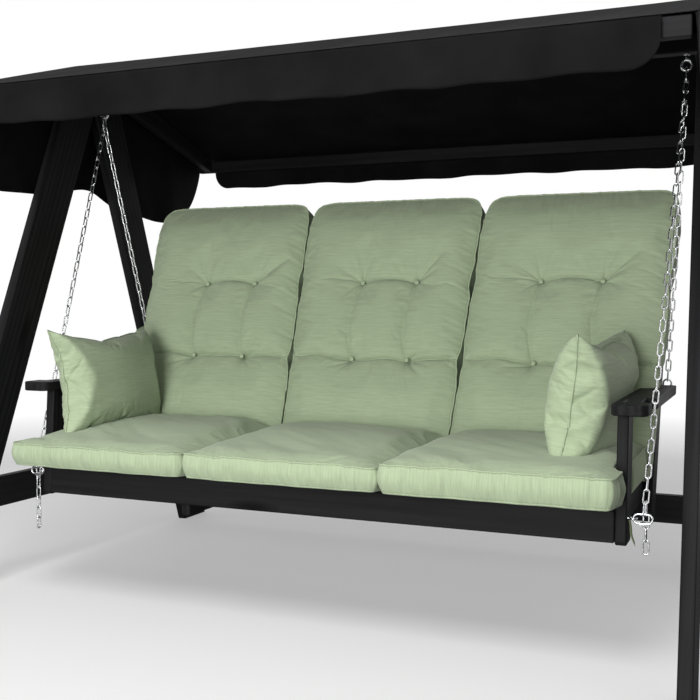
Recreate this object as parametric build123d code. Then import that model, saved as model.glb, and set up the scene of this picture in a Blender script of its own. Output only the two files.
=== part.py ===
"""Garden swing seat: a timber A-frame stand with a cloth canopy and a cushioned bench on chains.

Frame: millimetres, +X to the right of a sitter seen from the front, +Y to the back, +Z up.
The origin is on the ground, midway between the four feet, under the swing axis.
"""
from build123d import *
from math import atan, atan2, cos, radians, sin, tan
import os

# Timber
LEG_THICK = 34
LEG_WIDTH = 145
BAR_THICK = 28
BAR_WIDTH = 95
ARRIS = 4

# Stand: two leaning A-frames
FOOT_REACH = 770
LEG_SLOPE = 0.395
LEG_TOP = 1675
FRAME_INNER = 1033
FRAME_LEAN = 1.03
FOOT_TRIM = 10
SIDE_BAR_Z = 246
REAR_BEAM_Z = 147
REAR_BEAM_Y = 598
TOP_BEAM_Z = 1571
TOP_BEAM_HEIGHT = 110
TOP_BEAM_THICK = 45
TOUCH = 0.2

# Canopy
RIDGE_Z = 1720
EAVE_Z = 1476
EAVE_Y = 776
CANOPY_HALF = 1052
CLOTH = 2.5
ROOF_SAG = 22
RAFTER_DEPTH = 60
EAVE_RAIL = 45
VALANCE_DROP = 114
VALANCE_HALF = 985
VALANCE_CORNER = 65
SIDE_HEM_MIDDLE = 1283
SIDE_HEM_FRONT = 1235
SIDE_HEM_REAR = 1205
SIDE_CORNER = 290
SIDE_STEP = 225
SIDE_HEM_RISE = 18
FOLD_DEPTH = 7
SIDE_FOLDS = 10
END_FOLDS = 14

# Hanging point and chain
HANG_X = 966
AXIS_Z = 1526
EYE_WIRE = 8
EYE_RADIUS = 14
SHACKLE_WIRE = 6
SHACKLE_STRAIGHT = 23.5
SLACK = 0.3
LINK_WIRE = 4
LINK_INNER = 32
LINK_OUTER_WIDTH = 17
FRONT_LINKS = 38
REAR_LINKS = 28
RIGHT_TAIL_LINKS = 4
LEFT_TAIL_LINKS = 7
LINK_ASIDE = 2.25
LINK_RISE = 1.4
TAIL_LIFT = 6.2
TAIL_BACK = 2.2
QUICK_WIRE = 5
QUICK_LENGTH = 50
QUICK_WIDTH = 28
RING_RADIUS = 8
RING_WIRE = 5
RING_STAND_OFF = 14
SHANK_DEPTH = 22

# Bench, measured from the apron's front bottom edge
SEAT_FRONT = -443
SEAT_BASE = 300
APRON_HALF = 853.7
APRON_HEIGHT = 80
SEAT_THICK = 28
RAIL_DROP = 10
SIDE_RAIL_REAR = 640
REAR_RAIL_Y = 560
BEARER_X = 384
BEARER_DROP = 38
SLAT_THICK = 20
SLAT_WIDTH = 95
SEAT_SLATS = 5
SEAT_SLAT_PITCH = 115
POST_DEPTH = 80
POST_LEAN = 4
ARM_TOP = 344
ARM_INNER = 844
ARM_WIDTH = 89
ARM_FRONT = -32
ARM_NOTCH = (50, 172)
ARM_NOTCH_DEPTH = 27
ARM_CORNER = 24

# Reclined back
RECLINE = 21.2
BACK_FOOT_Y = 457
BACK_FOOT_Z = 195
BACK_PAD = 105
STILE_WIDTH = 95
STILE_TOP = 735
BACK_SLATS = 4
BACK_SLAT_FIRST = 80
BACK_SLAT_PITCH = 180

# Cushions
CUSHION_GAP = 1.2
SEAT_PAD_WIDTH = 577
OUTER_PAD_EDGE = 876
SEAT_PAD_FRONT = -150
SEAT_PAD_REAR = 412
SEAT_PAD_HEIGHT = 74
SEAT_PAD_CROWN = 16
BACK_PAD_LOW = 288
BACK_PAD_HIGH = 315
BACK_EDGE_LOW = 888
BACK_EDGE_HIGH = 936
BACK_PAD_TOP = 803
BACK_PAD_CROWN = 24
SEAT_CONTACT = 19
PILLOW_CONTACT = 31
TUFT_HALF = 95
TUFT_SHIFT = 22
TUFT_ROWS = (228, 495)
TUFT_DEPTH = 30
TUFT_BALL = 95
BUTTON_RADIUS = 8
BUTTON_THICK = 5
PILLOW_CLEAR = 3
PILLOW_LENGTH = 500
PILLOW_HEIGHT = 345
LEFT_PILLOW = (-766, 215)
LEFT_PILLOW_LEAN = -11
LEFT_PILLOW_FACES = (-38, -85)
LEFT_PILLOW_TURN = 0
RIGHT_PILLOW = (736, 266)
RIGHT_PILLOW_LEAN = 8
RIGHT_PILLOW_TURN = -5
RIGHT_PILLOW_FACES = (80, 80)

LEFT, RIGHT = -1, 1
MIRROR = Plane.YZ


def board(x, y, z, ease=ARRIS):
    """A planed board between three pairs of limits, with eased arrises."""
    size = [limits[1] - limits[0] for limits in (x, y, z)]
    middle = [(limits[0] + limits[1]) / 2 for limits in (x, y, z)]
    solid = Pos(*middle) * Box(*size)
    return fillet(solid.edges(), ease) if ease else solid


def side_profile(points, x_start, thickness, ease=0):
    """A flat outline of (y, z) points made into a board of this thickness along +X."""
    outline = make_face(Polyline(*points, close=True))
    solid = extrude(Plane.YZ.offset(x_start) * outline, amount=thickness)
    return fillet(solid.edges(), ease) if ease else solid


def on_both_sides(right):
    """The piece on the right and its mirror image on the left."""
    return {RIGHT: right, LEFT: mirror(right, about=MIRROR)}


def side_name(side):
    return "right" if side == RIGHT else "left"


def lean_in(solid):
    """Tips a piece of the right-hand A-frame inwards about its foot."""
    foot = Axis((FRAME_INNER, 0, 0), (0, 1, 0))
    return solid.rotate(foot, -FRAME_LEAN)


def frame_inner_at(z):
    """X of the A-frame's inner face at height z."""
    return FRAME_INNER - z * tan(radians(FRAME_LEAN))


# Stand

def leg_inner_edge(z):
    """Distance from the middle plane to a leg's inner edge at height z."""
    return FOOT_REACH - LEG_WIDTH / cos(atan(LEG_SLOPE)) - LEG_SLOPE * z


def make_leg(front):
    """One leg: head cut upright where it meets its partner, foot cut level after the leg leans."""
    sign = -1 if front else 1
    meeting_z = leg_inner_edge(0) / LEG_SLOPE
    outline = [
        (sign * (FOOT_REACH + LEG_SLOPE * FOOT_TRIM), -FOOT_TRIM),
        (sign * leg_inner_edge(-FOOT_TRIM), -FOOT_TRIM),
        (sign * TOUCH, meeting_z - TOUCH / LEG_SLOPE),
        (sign * TOUCH, LEG_TOP),
        (sign * (FOOT_REACH - LEG_SLOPE * LEG_TOP), LEG_TOP),
    ]
    solid = side_profile(outline, FRAME_INNER, LEG_THICK)
    long_edges = [e for e in solid.edges() if e.length > LEG_TOP / 2]
    leaning = lean_in(fillet(long_edges, ARRIS))
    reach = 2 * FOOT_REACH
    under_ground = board((0, reach), (-reach, reach), (-3 * FOOT_TRIM, 0), 0)
    return leaning - under_ground


def make_side_bar():
    """The bar between the two legs of one side, its ends cut to their slope."""
    low, high = SIDE_BAR_Z, SIDE_BAR_Z + BAR_WIDTH
    reach_low = leg_inner_edge(low) - TOUCH
    reach_high = leg_inner_edge(high) - TOUCH
    outline = [(-reach_low, low), (reach_low, low), (reach_high, high), (-reach_high, high)]
    start = FRAME_INNER + (LEG_THICK - BAR_THICK) / 2
    solid = side_profile(outline, start, BAR_THICK)
    long_edges = [e for e in solid.edges() if e.length > BAR_WIDTH * 2]
    return lean_in(fillet(long_edges, ARRIS))


def make_cross_beam(y, z, thickness, height):
    """A beam between the two A-frames, its ends cut to their lean."""
    low = frame_inner_at(z) - TOUCH
    high = frame_inner_at(z + height) - TOUCH
    outline = make_face(Polyline((-low, z), (low, z), (high, z + height), (-high, z + height), close=True))
    solid = extrude(Plane.XZ.offset(-y) * outline, amount=-thickness)
    long_edges = [e for e in solid.edges() if e.length > height * 2]
    return fillet(long_edges, ARRIS)


# Canopy frame and cloth

def roof_z(y):
    """Height of the straight line from ridge to eave."""
    return RIDGE_Z - (RIDGE_Z - EAVE_Z) * abs(y) / EAVE_Y


def make_rafter(front):
    """A rafter on the legs' inner face, from the top beam to the eave rail."""
    sign = -1 if front else 1
    start = TOP_BEAM_THICK / 2 + 3
    end = EAVE_Y - SEAT_THICK - CLOTH - 1
    under_cloth = CLOTH + 7
    outline = [
        (sign * start, roof_z(start) - under_cloth),
        (sign * end, roof_z(end) - under_cloth),
        (sign * end, roof_z(end) - under_cloth - EAVE_RAIL),
        (sign * start, roof_z(start) - under_cloth - RAFTER_DEPTH - EAVE_RAIL / 2),
    ]
    solid = side_profile(outline, FRAME_INNER - BAR_THICK - TOUCH, BAR_THICK, ARRIS / 2)
    return lean_in(solid)


def make_eave_rail(front):
    """The rail that carries the canopy's edge, fixed to the rafters' ends."""
    sign = -1 if front else 1
    outer = EAVE_Y - CLOTH - 0.5
    limits = sorted((sign * outer, sign * (outer - SEAT_THICK)))
    top = roof_z(outer) - CLOTH - 1
    half = CANOPY_HALF - 8
    return board((-half, half), limits, (top - EAVE_RAIL, top), ARRIS)


def roof_section(x, sag):
    """The canopy's cross-section at x: two slopes of cloth, each hanging in by its sag."""
    middle = EAVE_Y / 2
    middle_z = roof_z(middle) - sag
    edges = []
    for lift in (0, -CLOTH):
        edges.append([(-EAVE_Y, EAVE_Z + lift), (-middle, middle_z + lift), (0, RIDGE_Z + lift)])
        edges.append([(0, RIDGE_Z + lift), (middle, middle_z + lift), (EAVE_Y, EAVE_Z + lift)])
    outline = [ThreePointArc(*points) for points in edges]
    outline.append(Line((-EAVE_Y, EAVE_Z), (-EAVE_Y, EAVE_Z - CLOTH)))
    outline.append(Line((EAVE_Y, EAVE_Z), (EAVE_Y, EAVE_Z - CLOTH)))
    return Plane.YZ.offset(x) * make_face(outline)


def make_roof():
    """The roof cloth: tight at both gables and hanging in between them."""
    half = CANOPY_HALF + CLOTH
    stations = [(-half, 1), (0, ROOF_SAG), (half, 1)]
    return loft([roof_section(x, sag) for x, sag in stations])


def folded_strip(half_length, folds, low, high):
    """A strip of cloth standing along Y, swung in and out in arcs, from low to high."""
    step = 2 * half_length / folds
    edges = []
    for offset in (0, CLOTH):
        for k in range(folds):
            start = -half_length + k * step
            swing = FOLD_DEPTH / 2 * (1 if k % 2 else -1)
            points = [(offset, start), (offset + swing, start + step / 2), (offset, start + step)]
            edges.append(ThreePointArc(*points))
    for end in (-half_length, half_length):
        edges.append(Line((0, end), (CLOTH, end)))
    return extrude(Plane.XY.offset(low) * make_face(edges), amount=high - low)


def make_side_valance():
    """The gable cloth outside the right-hand legs: deep front and rear flaps, a shallow middle."""
    half = EAVE_Y - 1
    flap = EAVE_Y - SIDE_CORNER
    below_roof = CLOTH + 2.2
    top_eave = EAVE_Z - below_roof
    corner_in = SIDE_CORNER * (1 - cos(radians(45)))
    rear_step = SIDE_HEM_REAR + SIDE_HEM_RISE
    front_step = SIDE_HEM_FRONT + SIDE_HEM_RISE / 2
    outline = [
        Line((-half, top_eave), (0, RIDGE_Z - below_roof)),
        Line((0, RIDGE_Z - below_roof), (half, top_eave)),
        ThreePointArc((half, top_eave), (half - corner_in, SIDE_HEM_REAR + corner_in * 0.9),
                      (flap, SIDE_HEM_REAR)),
        Line((flap, SIDE_HEM_REAR), (SIDE_STEP, rear_step)),
        ThreePointArc((SIDE_STEP, rear_step), (SIDE_STEP / 2, SIDE_HEM_MIDDLE - SIDE_HEM_RISE),
                      (0, SIDE_HEM_MIDDLE)),
        ThreePointArc((0, SIDE_HEM_MIDDLE), (-SIDE_STEP / 2, SIDE_HEM_MIDDLE - SIDE_HEM_RISE / 2),
                      (-SIDE_STEP, front_step)),
        Line((-SIDE_STEP, front_step), (-flap, SIDE_HEM_FRONT)),
        ThreePointArc((-flap, SIDE_HEM_FRONT), (-half + corner_in, SIDE_HEM_FRONT + corner_in * 0.85),
                      (-half, top_eave)),
    ]
    pattern = extrude(Plane.YZ * make_face(outline), amount=4 * FOLD_DEPTH)
    cloth = folded_strip(half, SIDE_FOLDS, SIDE_HEM_REAR - 1, RIDGE_Z)
    cloth = Pos(CANOPY_HALF - CLOTH, 0, 0) * cloth
    return cloth & Pos(CANOPY_HALF - 2 * FOLD_DEPTH, 0, 0) * pattern


def make_end_valance(front):
    """The strip that hangs from the front or rear eave, with rounded lower corners."""
    sign = -1 if front else 1
    top = EAVE_Z - CLOTH - 0.6
    low = EAVE_Z - VALANCE_DROP
    strip = Rot(0, 0, 90) * folded_strip(VALANCE_HALF, END_FOLDS, low, top)
    pattern = Pos(0, 0, (low + top) / 2) * Box(2 * VALANCE_HALF, 4 * FOLD_DEPTH, top - low)
    corners = pattern.edges().filter_by(Axis.Y).sort_by(Axis.Z)[:2]
    cloth = strip & fillet(corners, VALANCE_CORNER)
    outside = EAVE_Y + FOLD_DEPTH / 2 + CLOTH + 0.3
    return Pos(0, sign * outside, 0) * cloth


# Wire loops and chain

def wire_loop(half_width, straight, wire):
    """A closed oval of round wire in the XY plane, its length along X."""
    path = SlotCenterToCenter(straight, 2 * half_width).wire()
    section = Plane(origin=path @ 0, z_dir=path % 0) * Circle(wire / 2)
    return sweep(section, path=path)


def place(solid, centre, along, normal):
    """Puts a piece made in the XY plane at a centre, with its X axis along a direction."""
    return Plane(origin=centre, x_dir=along, z_dir=normal).location * solid


LINK_HALF_WIDTH = (LINK_OUTER_WIDTH - LINK_WIRE) / 2
LINK_REACH = LINK_INNER / 2 + LINK_WIRE / 2
LINK = wire_loop(LINK_HALF_WIDTH, 2 * (LINK_REACH - LINK_HALF_WIDTH), LINK_WIRE)


def chain_normals(along):
    """The two directions that neighbouring links face, square to the chain and to each other."""
    across = along.cross(Vector(1, 0, 0)).normalized()
    return across, along.cross(across).normalized()


def link_row(first_centre, along, pitch, count, start=0):
    """Links in a row, each turned a quarter from the last."""
    normals = chain_normals(along)
    return [place(LINK, first_centre + along * (pitch * k), along, normals[(k + start) % 2])
            for k in range(count)]


def chain_between(upper_wire, upper_radius, lower_wire, lower_radius, count, aside=0, rise=0):
    """A straight chain whose end links go round two wires; returns its links, direction and pitch.

    Where a tail shares the last joint, the last link sits aside and rises in its neighbour's bend.
    """
    along = (lower_wire - upper_wire).normalized()
    first_apex = upper_wire - along * (upper_radius + LINK_WIRE / 2 + SLACK)
    last_apex = lower_wire + along * (lower_radius + LINK_WIRE / 2 + SLACK)
    pitch = ((last_apex - first_apex).length - 2 * LINK_REACH + rise) / (count - 1)
    first_centre = first_apex + along * LINK_REACH
    links = link_row(first_centre, along, pitch, count)
    links[-1] = Pos(*(Vector(-aside, 0, 0) - along * rise)) * links[-1]
    return links, along, pitch, first_centre


SHACKLE_HALF = EYE_WIRE / 2 + SLACK + SHACKLE_WIRE / 2 + 0.1


def make_eye_bolt():
    """An eye bolt through the top beam: a ring in the beam's plane on a plain shank."""
    ring = Pos(HANG_X, 0, AXIS_Z + EYE_RADIUS) * Rot(90, 0, 0) * Torus(EYE_RADIUS, EYE_WIRE / 2)
    shank_low = AXIS_Z + 2 * EYE_RADIUS
    shank_high = TOP_BEAM_Z + TOP_BEAM_HEIGHT + 14
    shank = Pos(HANG_X, 0, (shank_low + shank_high) / 2) * Cylinder(EYE_WIRE / 2, shank_high - shank_low)
    collar_top = TOP_BEAM_Z - TOUCH
    collar = Pos(HANG_X, 0, collar_top - 1.5) * Cylinder(EYE_WIRE, 3)
    return ring + shank + collar


def make_eye_nut():
    """A washer and hexagon nut in one, on top of the beam."""
    base = TOP_BEAM_Z + TOP_BEAM_HEIGHT + TOUCH
    flange = Pos(HANG_X, 0, base + 1) * Cylinder(11, 2)
    hexagon = Pos(HANG_X, 0, base + 2) * extrude(RegularPolygon(7.5, 6), amount=7)
    hole = Pos(HANG_X, 0, base + 4) * Cylinder(EYE_WIRE / 2 + 0.1, 20)
    return flange + hexagon - hole


def make_shackle():
    """The closed link that hangs in the eye and turns on it when the bench swings."""
    loop = wire_loop(SHACKLE_HALF, SHACKLE_STRAIGHT, SHACKLE_WIRE)
    centre = Vector(HANG_X, 0, AXIS_Z - SHACKLE_STRAIGHT / 2)
    return place(loop, centre, Vector(0, 0, 1), Vector(1, 0, 0))


def shackle_contact(target):
    """The centre of the shackle's wire where a chain leaves it for a target point."""
    bow = Vector(HANG_X, 0, AXIS_Z - SHACKLE_STRAIGHT)
    lean = atan2(target.Y - bow.Y, bow.Z - target.Z)
    return bow + Vector(0, SHACKLE_HALF * sin(lean), -SHACKLE_HALF * cos(lean))


# Bench placing

def seat_point(x, y, z):
    """A point of the bench, measured from the apron's front bottom edge."""
    return Vector(x, y + SEAT_FRONT, z + SEAT_BASE)


def seat_board(x, y, z, ease=ARRIS):
    shifted_y = [value + SEAT_FRONT for value in y]
    shifted_z = [value + SEAT_BASE for value in z]
    return board(x, shifted_y, shifted_z, ease)


BACK_UP = Vector(0, sin(radians(RECLINE)), cos(radians(RECLINE)))
BACK_PLANE = Plane(origin=seat_point(0, BACK_FOOT_Y, BACK_FOOT_Z), x_dir=(1, 0, 0),
                   z_dir=(0, -cos(radians(RECLINE)), sin(radians(RECLINE))))


def back_box(x, up, out, ease=ARRIS):
    """A board on the reclined back: limits across, up the back and out towards the sitter."""
    return BACK_PLANE.location * board(x, up, out, ease)


POST_OUTER = APRON_HALF + 0.6 + SEAT_THICK
FRONT_EYE = seat_point(POST_OUTER, 20, 62)
REAR_EYE = seat_point(POST_OUTER, 664, 322)
QUICK_HALF = (QUICK_WIDTH - QUICK_WIRE) / 2
QUICK_STRAIGHT = QUICK_LENGTH - QUICK_WIRE - 2 * QUICK_HALF
QUICK_REACH = QUICK_STRAIGHT / 2 + QUICK_HALF


def make_screw_eye(root):
    """A screw eye driven into a post's outer face, its ring lying level."""
    ring = Pos(*(root + Vector(RING_STAND_OFF, 0, 0))) * Torus(RING_RADIUS, RING_WIRE / 2)
    length = SHANK_DEPTH + RING_STAND_OFF - RING_RADIUS
    middle = root + Vector((RING_STAND_OFF - RING_RADIUS - SHANK_DEPTH) / 2, 0, 0)
    shank = Pos(*middle) * Rot(0, 90, 0) * Cylinder(RING_WIRE / 2, length)
    return ring + shank


def screw_hole(root):
    return Pos(*root) * Rot(0, 90, 0) * Cylinder(RING_WIRE / 2 + 0.05, 2 * SHANK_DEPTH + 1)


QUICK_LOOP = wire_loop(QUICK_HALF, QUICK_STRAIGHT, QUICK_WIRE)


def quick_nut(centre, along):
    """The hexagon sleeve that closes a quick link, on the middle of one long side."""
    hexagon = extrude(RegularPolygon(QUICK_WIRE * 0.95, 6), amount=14)
    hole = Cylinder(QUICK_WIRE / 2 + 0.1, 60)
    sleeve = Pos(0, 0, -7) * hexagon - hole
    return Plane(origin=centre, z_dir=along).location * sleeve


def front_hardware():
    """The level quick link in the front screw eye, its nut, and where the chain takes hold of it."""
    inner_end = FRONT_EYE + Vector(RING_STAND_OFF, 0, 0)
    centre = inner_end + Vector(QUICK_REACH, 0, 0)
    loop = place(QUICK_LOOP, centre, Vector(1, 0, 0), Vector(0, -1, 0))
    nut = quick_nut(centre - Vector(0, 0, QUICK_HALF), Vector(1, 0, 0))
    hold = centre + Vector(3, 0, QUICK_HALF)
    return loop, nut, hold


def rear_hardware():
    """The upright quick link in the rear screw eye, in line with the rear chain."""
    ring_outside = REAR_EYE + Vector(RING_STAND_OFF + RING_RADIUS, 0, 0)
    along = (shackle_contact(ring_outside) - ring_outside).normalized()
    across = along.cross(Vector(1, 0, 0)).normalized()
    low_apex = ring_outside - along * (RING_WIRE / 2 + QUICK_WIRE / 2 + SLACK)
    centre = low_apex + along * QUICK_REACH
    loop = place(QUICK_LOOP, centre, along, across)
    side = along.cross(across).normalized()
    outward = side if side.X > 0 else -side
    nut = quick_nut(centre + outward * QUICK_HALF, along)
    return loop, nut, low_apex + along * (2 * QUICK_REACH)


def make_tail(upper_centre, along):
    """The spare links that hang straight down beside the chain's last link, and their pivot.

    They are as many as the longer tail has.
    The pivot is the round wire of the link above, where the first spare link goes over it.
    """
    bend = upper_centre + along * (LINK_REACH - LINK_HALF_WIDTH)
    down = Vector(0, 0, -1)
    wire_below_bend = (LINK_HALF_WIDTH ** 2 - LINK_ASIDE ** 2) ** 0.5
    pivot = bend + Vector(LINK_ASIDE, 0, 0) + along * wire_below_bend
    first_apex = pivot + Vector(0, TAIL_BACK, TAIL_LIFT)
    first_centre = first_apex + down * LINK_REACH
    return link_row(first_centre, down, LINK_INNER - SLACK, LEFT_TAIL_LINKS, start=1), pivot


# Bench timber

def make_apron():
    """The front rail of the bench."""
    return seat_board((-APRON_HALF, APRON_HALF), (0, SEAT_THICK), (0, APRON_HEIGHT))


def make_side_rail():
    """The right-hand rail from front to back, inside the arm post."""
    x = (APRON_HALF - SEAT_THICK, APRON_HALF)
    return seat_board(x, (SEAT_THICK + TOUCH, SIDE_RAIL_REAR), (RAIL_DROP, APRON_HEIGHT))


def make_rear_rail():
    half = APRON_HALF - SEAT_THICK - TOUCH
    return seat_board((-half, half), (REAR_RAIL_Y, REAR_RAIL_Y + SEAT_THICK), (RAIL_DROP, APRON_HEIGHT))


def make_bearer(side):
    """A board under the slats from front to back; the left one reaches below the apron."""
    low = -BEARER_DROP if side == LEFT else RAIL_DROP
    x = sorted((side * (BEARER_X - SEAT_THICK / 2), side * (BEARER_X + SEAT_THICK / 2)))
    solid = seat_board(x, (SEAT_THICK + TOUCH, REAR_RAIL_Y - TOUCH), (low, APRON_HEIGHT))
    return solid


def make_seat_slats():
    """Loose boards on top of the rails, with gaps between them."""
    slats = []
    for k in range(SEAT_SLATS):
        start = k * SEAT_SLAT_PITCH
        z = (APRON_HEIGHT + TOUCH, APRON_HEIGHT + TOUCH + SLAT_THICK)
        slats.append(seat_board((-APRON_HALF, APRON_HALF), (start, start + SLAT_WIDTH), z))
    return Compound(children=slats)


DECK = APRON_HEIGHT + TOUCH + SLAT_THICK
ARM_BOTTOM = ARM_TOP - SEAT_THICK


def make_post():
    """The right arm post, leaning back a little, with a rounded lower end."""
    low, high = -6, ARM_BOTTOM - TOUCH
    shift = (high - low) * tan(radians(POST_LEAN))
    start = seat_point(0, 0, low)
    end = seat_point(0, shift, high)
    outline = [(start.Y, start.Z), (start.Y + POST_DEPTH, start.Z),
               (end.Y + POST_DEPTH, end.Z), (end.Y, end.Z)]
    solid = side_profile(outline, POST_OUTER - SEAT_THICK, SEAT_THICK)
    lower = solid.edges().filter_by(Axis.X).sort_by(Axis.Z)[:2]
    solid = fillet(lower, 12)
    long_edges = [e for e in solid.edges() if e.length > POST_DEPTH * 3]
    return fillet(long_edges, ARRIS) - screw_hole(FRONT_EYE)


def make_stile():
    """The right upright of the reclined back, on the outside of the side rail."""
    front_face = -BACK_PAD - SLAT_THICK - TOUCH
    x = (POST_OUTER - SEAT_THICK, POST_OUTER)
    low = -BACK_FOOT_Z / cos(radians(RECLINE)) + 35
    return back_box(x, (low, STILE_TOP), (front_face - STILE_WIDTH, front_face)) - screw_hole(REAR_EYE)


def make_armrest():
    """The right armrest: rounded front, a notch for the front chain, cut to the stile behind."""
    x = (ARM_INNER, ARM_INNER + ARM_WIDTH)
    slab = seat_board(x, (ARM_FRONT, SIDE_RAIL_REAR + 60), (ARM_BOTTOM, ARM_TOP), 0)
    front_corners = slab.edges().filter_by(Axis.Z).sort_by(Axis.Y)[:2]
    slab = fillet(front_corners, ARM_CORNER)
    notch_x = (x[1] - ARM_NOTCH_DEPTH, x[1] + 10)
    slab = slab - seat_board(notch_x, ARM_NOTCH, (ARM_BOTTOM - 5, ARM_TOP + 5), 5)
    slab = slab - back_box((x[0] - 5, x[1] + 5), (-300, 600), (-400, -BACK_PAD - SLAT_THICK), 0)
    faces = slab.faces().filter_by(Axis.Z)
    rims = faces.sort_by(Axis.Z)[-1].outer_wire().edges() + faces.sort_by(Axis.Z)[0].outer_wire().edges()
    return fillet(rims, ARRIS)


def make_back_slats():
    """Boards across the front of the two stiles, behind the back cushions."""
    slats = []
    for k in range(BACK_SLATS):
        low = BACK_SLAT_FIRST + k * BACK_SLAT_PITCH
        out = (-BACK_PAD - SLAT_THICK, -BACK_PAD)
        half = ARM_INNER - 2 if k == 0 else POST_OUTER
        slats.append(back_box((-half, half), (low, low + SLAT_WIDTH), out))
    return Compound(children=slats)


# Cushions

def pad_section(plane, points):
    """A closed section of line, arc, arc, arc through (start, through, end) points."""
    low_a, low_b, rear_mid, high_b, crown, high_a, front_mid = points
    edges = [
        Line(low_a, low_b),
        ThreePointArc(low_b, rear_mid, high_b),
        ThreePointArc(high_b, crown, high_a),
        ThreePointArc(high_a, front_mid, low_a),
    ]
    return plane * make_face(edges)


def make_seat_cushion(x_from, x_to):
    """A boxed seat cushion: flat base, crowned top, sides drawn in between its corners."""
    base = DECK + 0.6
    roll = 11
    slope = tan(radians(RECLINE))
    corner = 26
    stations = [(x_from, 14, 12), (x_from + corner, 0, 2), ((x_from + x_to) / 2, 6, 0),
                (x_to - corner, 0, 2), (x_to, 14, 12)]
    sections = []
    for x, inset, drop in stations:
        front = SEAT_PAD_FRONT + inset
        rear = SEAT_PAD_REAR - inset
        height = SEAT_PAD_HEIGHT - drop
        top = base + height
        crown = top + SEAT_PAD_CROWN - drop
        rear_top = rear + height * slope
        points = [(front + roll, base), (rear - roll, base), (rear + height * slope / 2, base + height / 2),
                  (rear_top - roll, top), ((front + rear) / 2, crown), (front + roll, top),
                  (front, base + height / 2)]
        shifted = [(y + SEAT_FRONT, z + SEAT_BASE) for y, z in points]
        sections.append(pad_section(Plane.YZ.offset(x), shifted))
    return loft(sections) - behind_back(SEAT_CONTACT)


def behind_back(contact):
    """Everything behind a plane that stands out in front of the back by this much."""
    return back_box((-1000, 1000), (-300, 500), (-300, contact), 0)


def post_clearance(side):
    """The room that the arm post takes beside the seat cushion."""
    x = sorted((side * (APRON_HALF + 0.1), side * (APRON_HALF + 80)))
    return seat_board(x, (-6, POST_DEPTH + 30), (0, 300), 0)


def back_section(up, x_from, x_to, thick, crown):
    """A section across a back cushion: flat rear, rounded sides, crowned front."""
    roll = min(16, thick * 0.3)
    rear = -BACK_PAD + 0.6
    front = rear + thick
    middle = (x_from + x_to) / 2
    points = [(x_from + roll, rear), (x_to - roll, rear), (x_to, rear + thick / 2), (x_to - roll, front),
              (middle, front + crown), (x_from + roll, front), (x_from, rear + thick / 2)]
    turned = Plane(origin=BACK_PLANE.from_local_coords(Vector(0, up, 0)), x_dir=(1, 0, 0), z_dir=-BACK_UP)
    return pad_section(turned, points)


def edge_at(up, low, high):
    """A seam's place across the back, which spreads from low to high with height."""
    return low + (high - low) * up / BACK_PAD_TOP


def make_back_cushion(left, right):
    """A tall tufted cushion between two seams, each a (low, high) pair of places across the back."""
    top = BACK_PAD_TOP
    stations = [(-105, 0, BACK_PAD - 25, 4), (-60, 0, BACK_PAD - 8, 14), (top * 0.45, 3, BACK_PAD, BACK_PAD_CROWN),
                (top - 90, 0, BACK_PAD - 4, 14), (top - 35, 16, BACK_PAD - 26, 8), (top, 74, 34, 3)]
    sections = []
    for up, inset, thick, crown in stations:
        x_from = edge_at(up, *left) + inset
        x_to = edge_at(up, *right) - inset
        sections.append(back_section(up, x_from, x_to, thick, crown))
    solid = loft(sections) & between_seams(left, right)
    for x, up in tuft_places(left, right):
        solid = solid - dimple(x, up)
    solid = solid - crease(cushion_middle(left, right), TUFT_ROWS[0], 420)
    return solid - below_deck()


def cushion_middle(left, right):
    """The place across the back midway between two seams, at the lower tufts."""
    return (edge_at(TUFT_ROWS[0], *left) + edge_at(TUFT_ROWS[0], *right)) / 2


def tuft_places(left, right):
    """The (across, up) places of a cushion's four tufts, which sit a little right of its middle."""
    middle = cushion_middle(left, right) + TUFT_SHIFT
    return [(middle + side * TUFT_HALF, up) for up in TUFT_ROWS for side in (LEFT, RIGHT)]


def between_seams(left, right):
    """The room between two seams, where neighbouring cushions press flat against each other."""
    low, high = -200, BACK_PAD_TOP + 50
    corners = [(edge_at(low, *left), low), (edge_at(low, *right), low),
               (edge_at(high, *right), high), (edge_at(high, *left), high)]
    outline = make_face(Polyline(*corners, close=True))
    return BACK_PLANE.location * (Pos(0, 0, -2 * BACK_PAD) * extrude(outline, amount=4 * BACK_PAD))


def dimple(x, up):
    """The ball that presses a tuft into a cushion."""
    centre = Vector(x, up, BACK_PAD_CROWN - TUFT_DEPTH + TUFT_BALL)
    return Pos(*BACK_PLANE.from_local_coords(centre)) * Sphere(TUFT_BALL)


def crease(x, up, half_length):
    """The long round bar that presses a fold across a cushion."""
    radius = 60
    centre = Vector(x, up, BACK_PAD_CROWN - 9 + radius)
    return Pos(*BACK_PLANE.from_local_coords(centre)) * Rot(0, 90, 0) * Cylinder(radius, 2 * half_length)


def below_deck():
    """Everything under the top of the seat slats."""
    return seat_board((-1000, 1000), (300, 800), (-200, DECK + 0.6), 0)


def arm_clearance(side):
    """The room that an armrest takes where it presses into a back cushion."""
    x = sorted((side * (ARM_INNER - 0.6), side * (ARM_INNER + 120)))
    return seat_board(x, (300, 720), (ARM_BOTTOM - 0.6, ARM_TOP + 0.6), 0)


def chain_clearance(side):
    """The groove that a rear chain presses into the outer edge of a back cushion."""
    hold = rear_hardware()[2]
    upper = shackle_contact(hold)
    along = (upper - hold).normalized()
    length = (upper - hold).length
    bar = Cylinder(LINK_OUTER_WIDTH / 2 + 1, length, align=(Align.CENTER, Align.CENTER, Align.MIN))
    groove = Plane(origin=hold - along * QUICK_LENGTH, z_dir=along).location * bar
    return on_both_sides(groove)[side]


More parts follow.
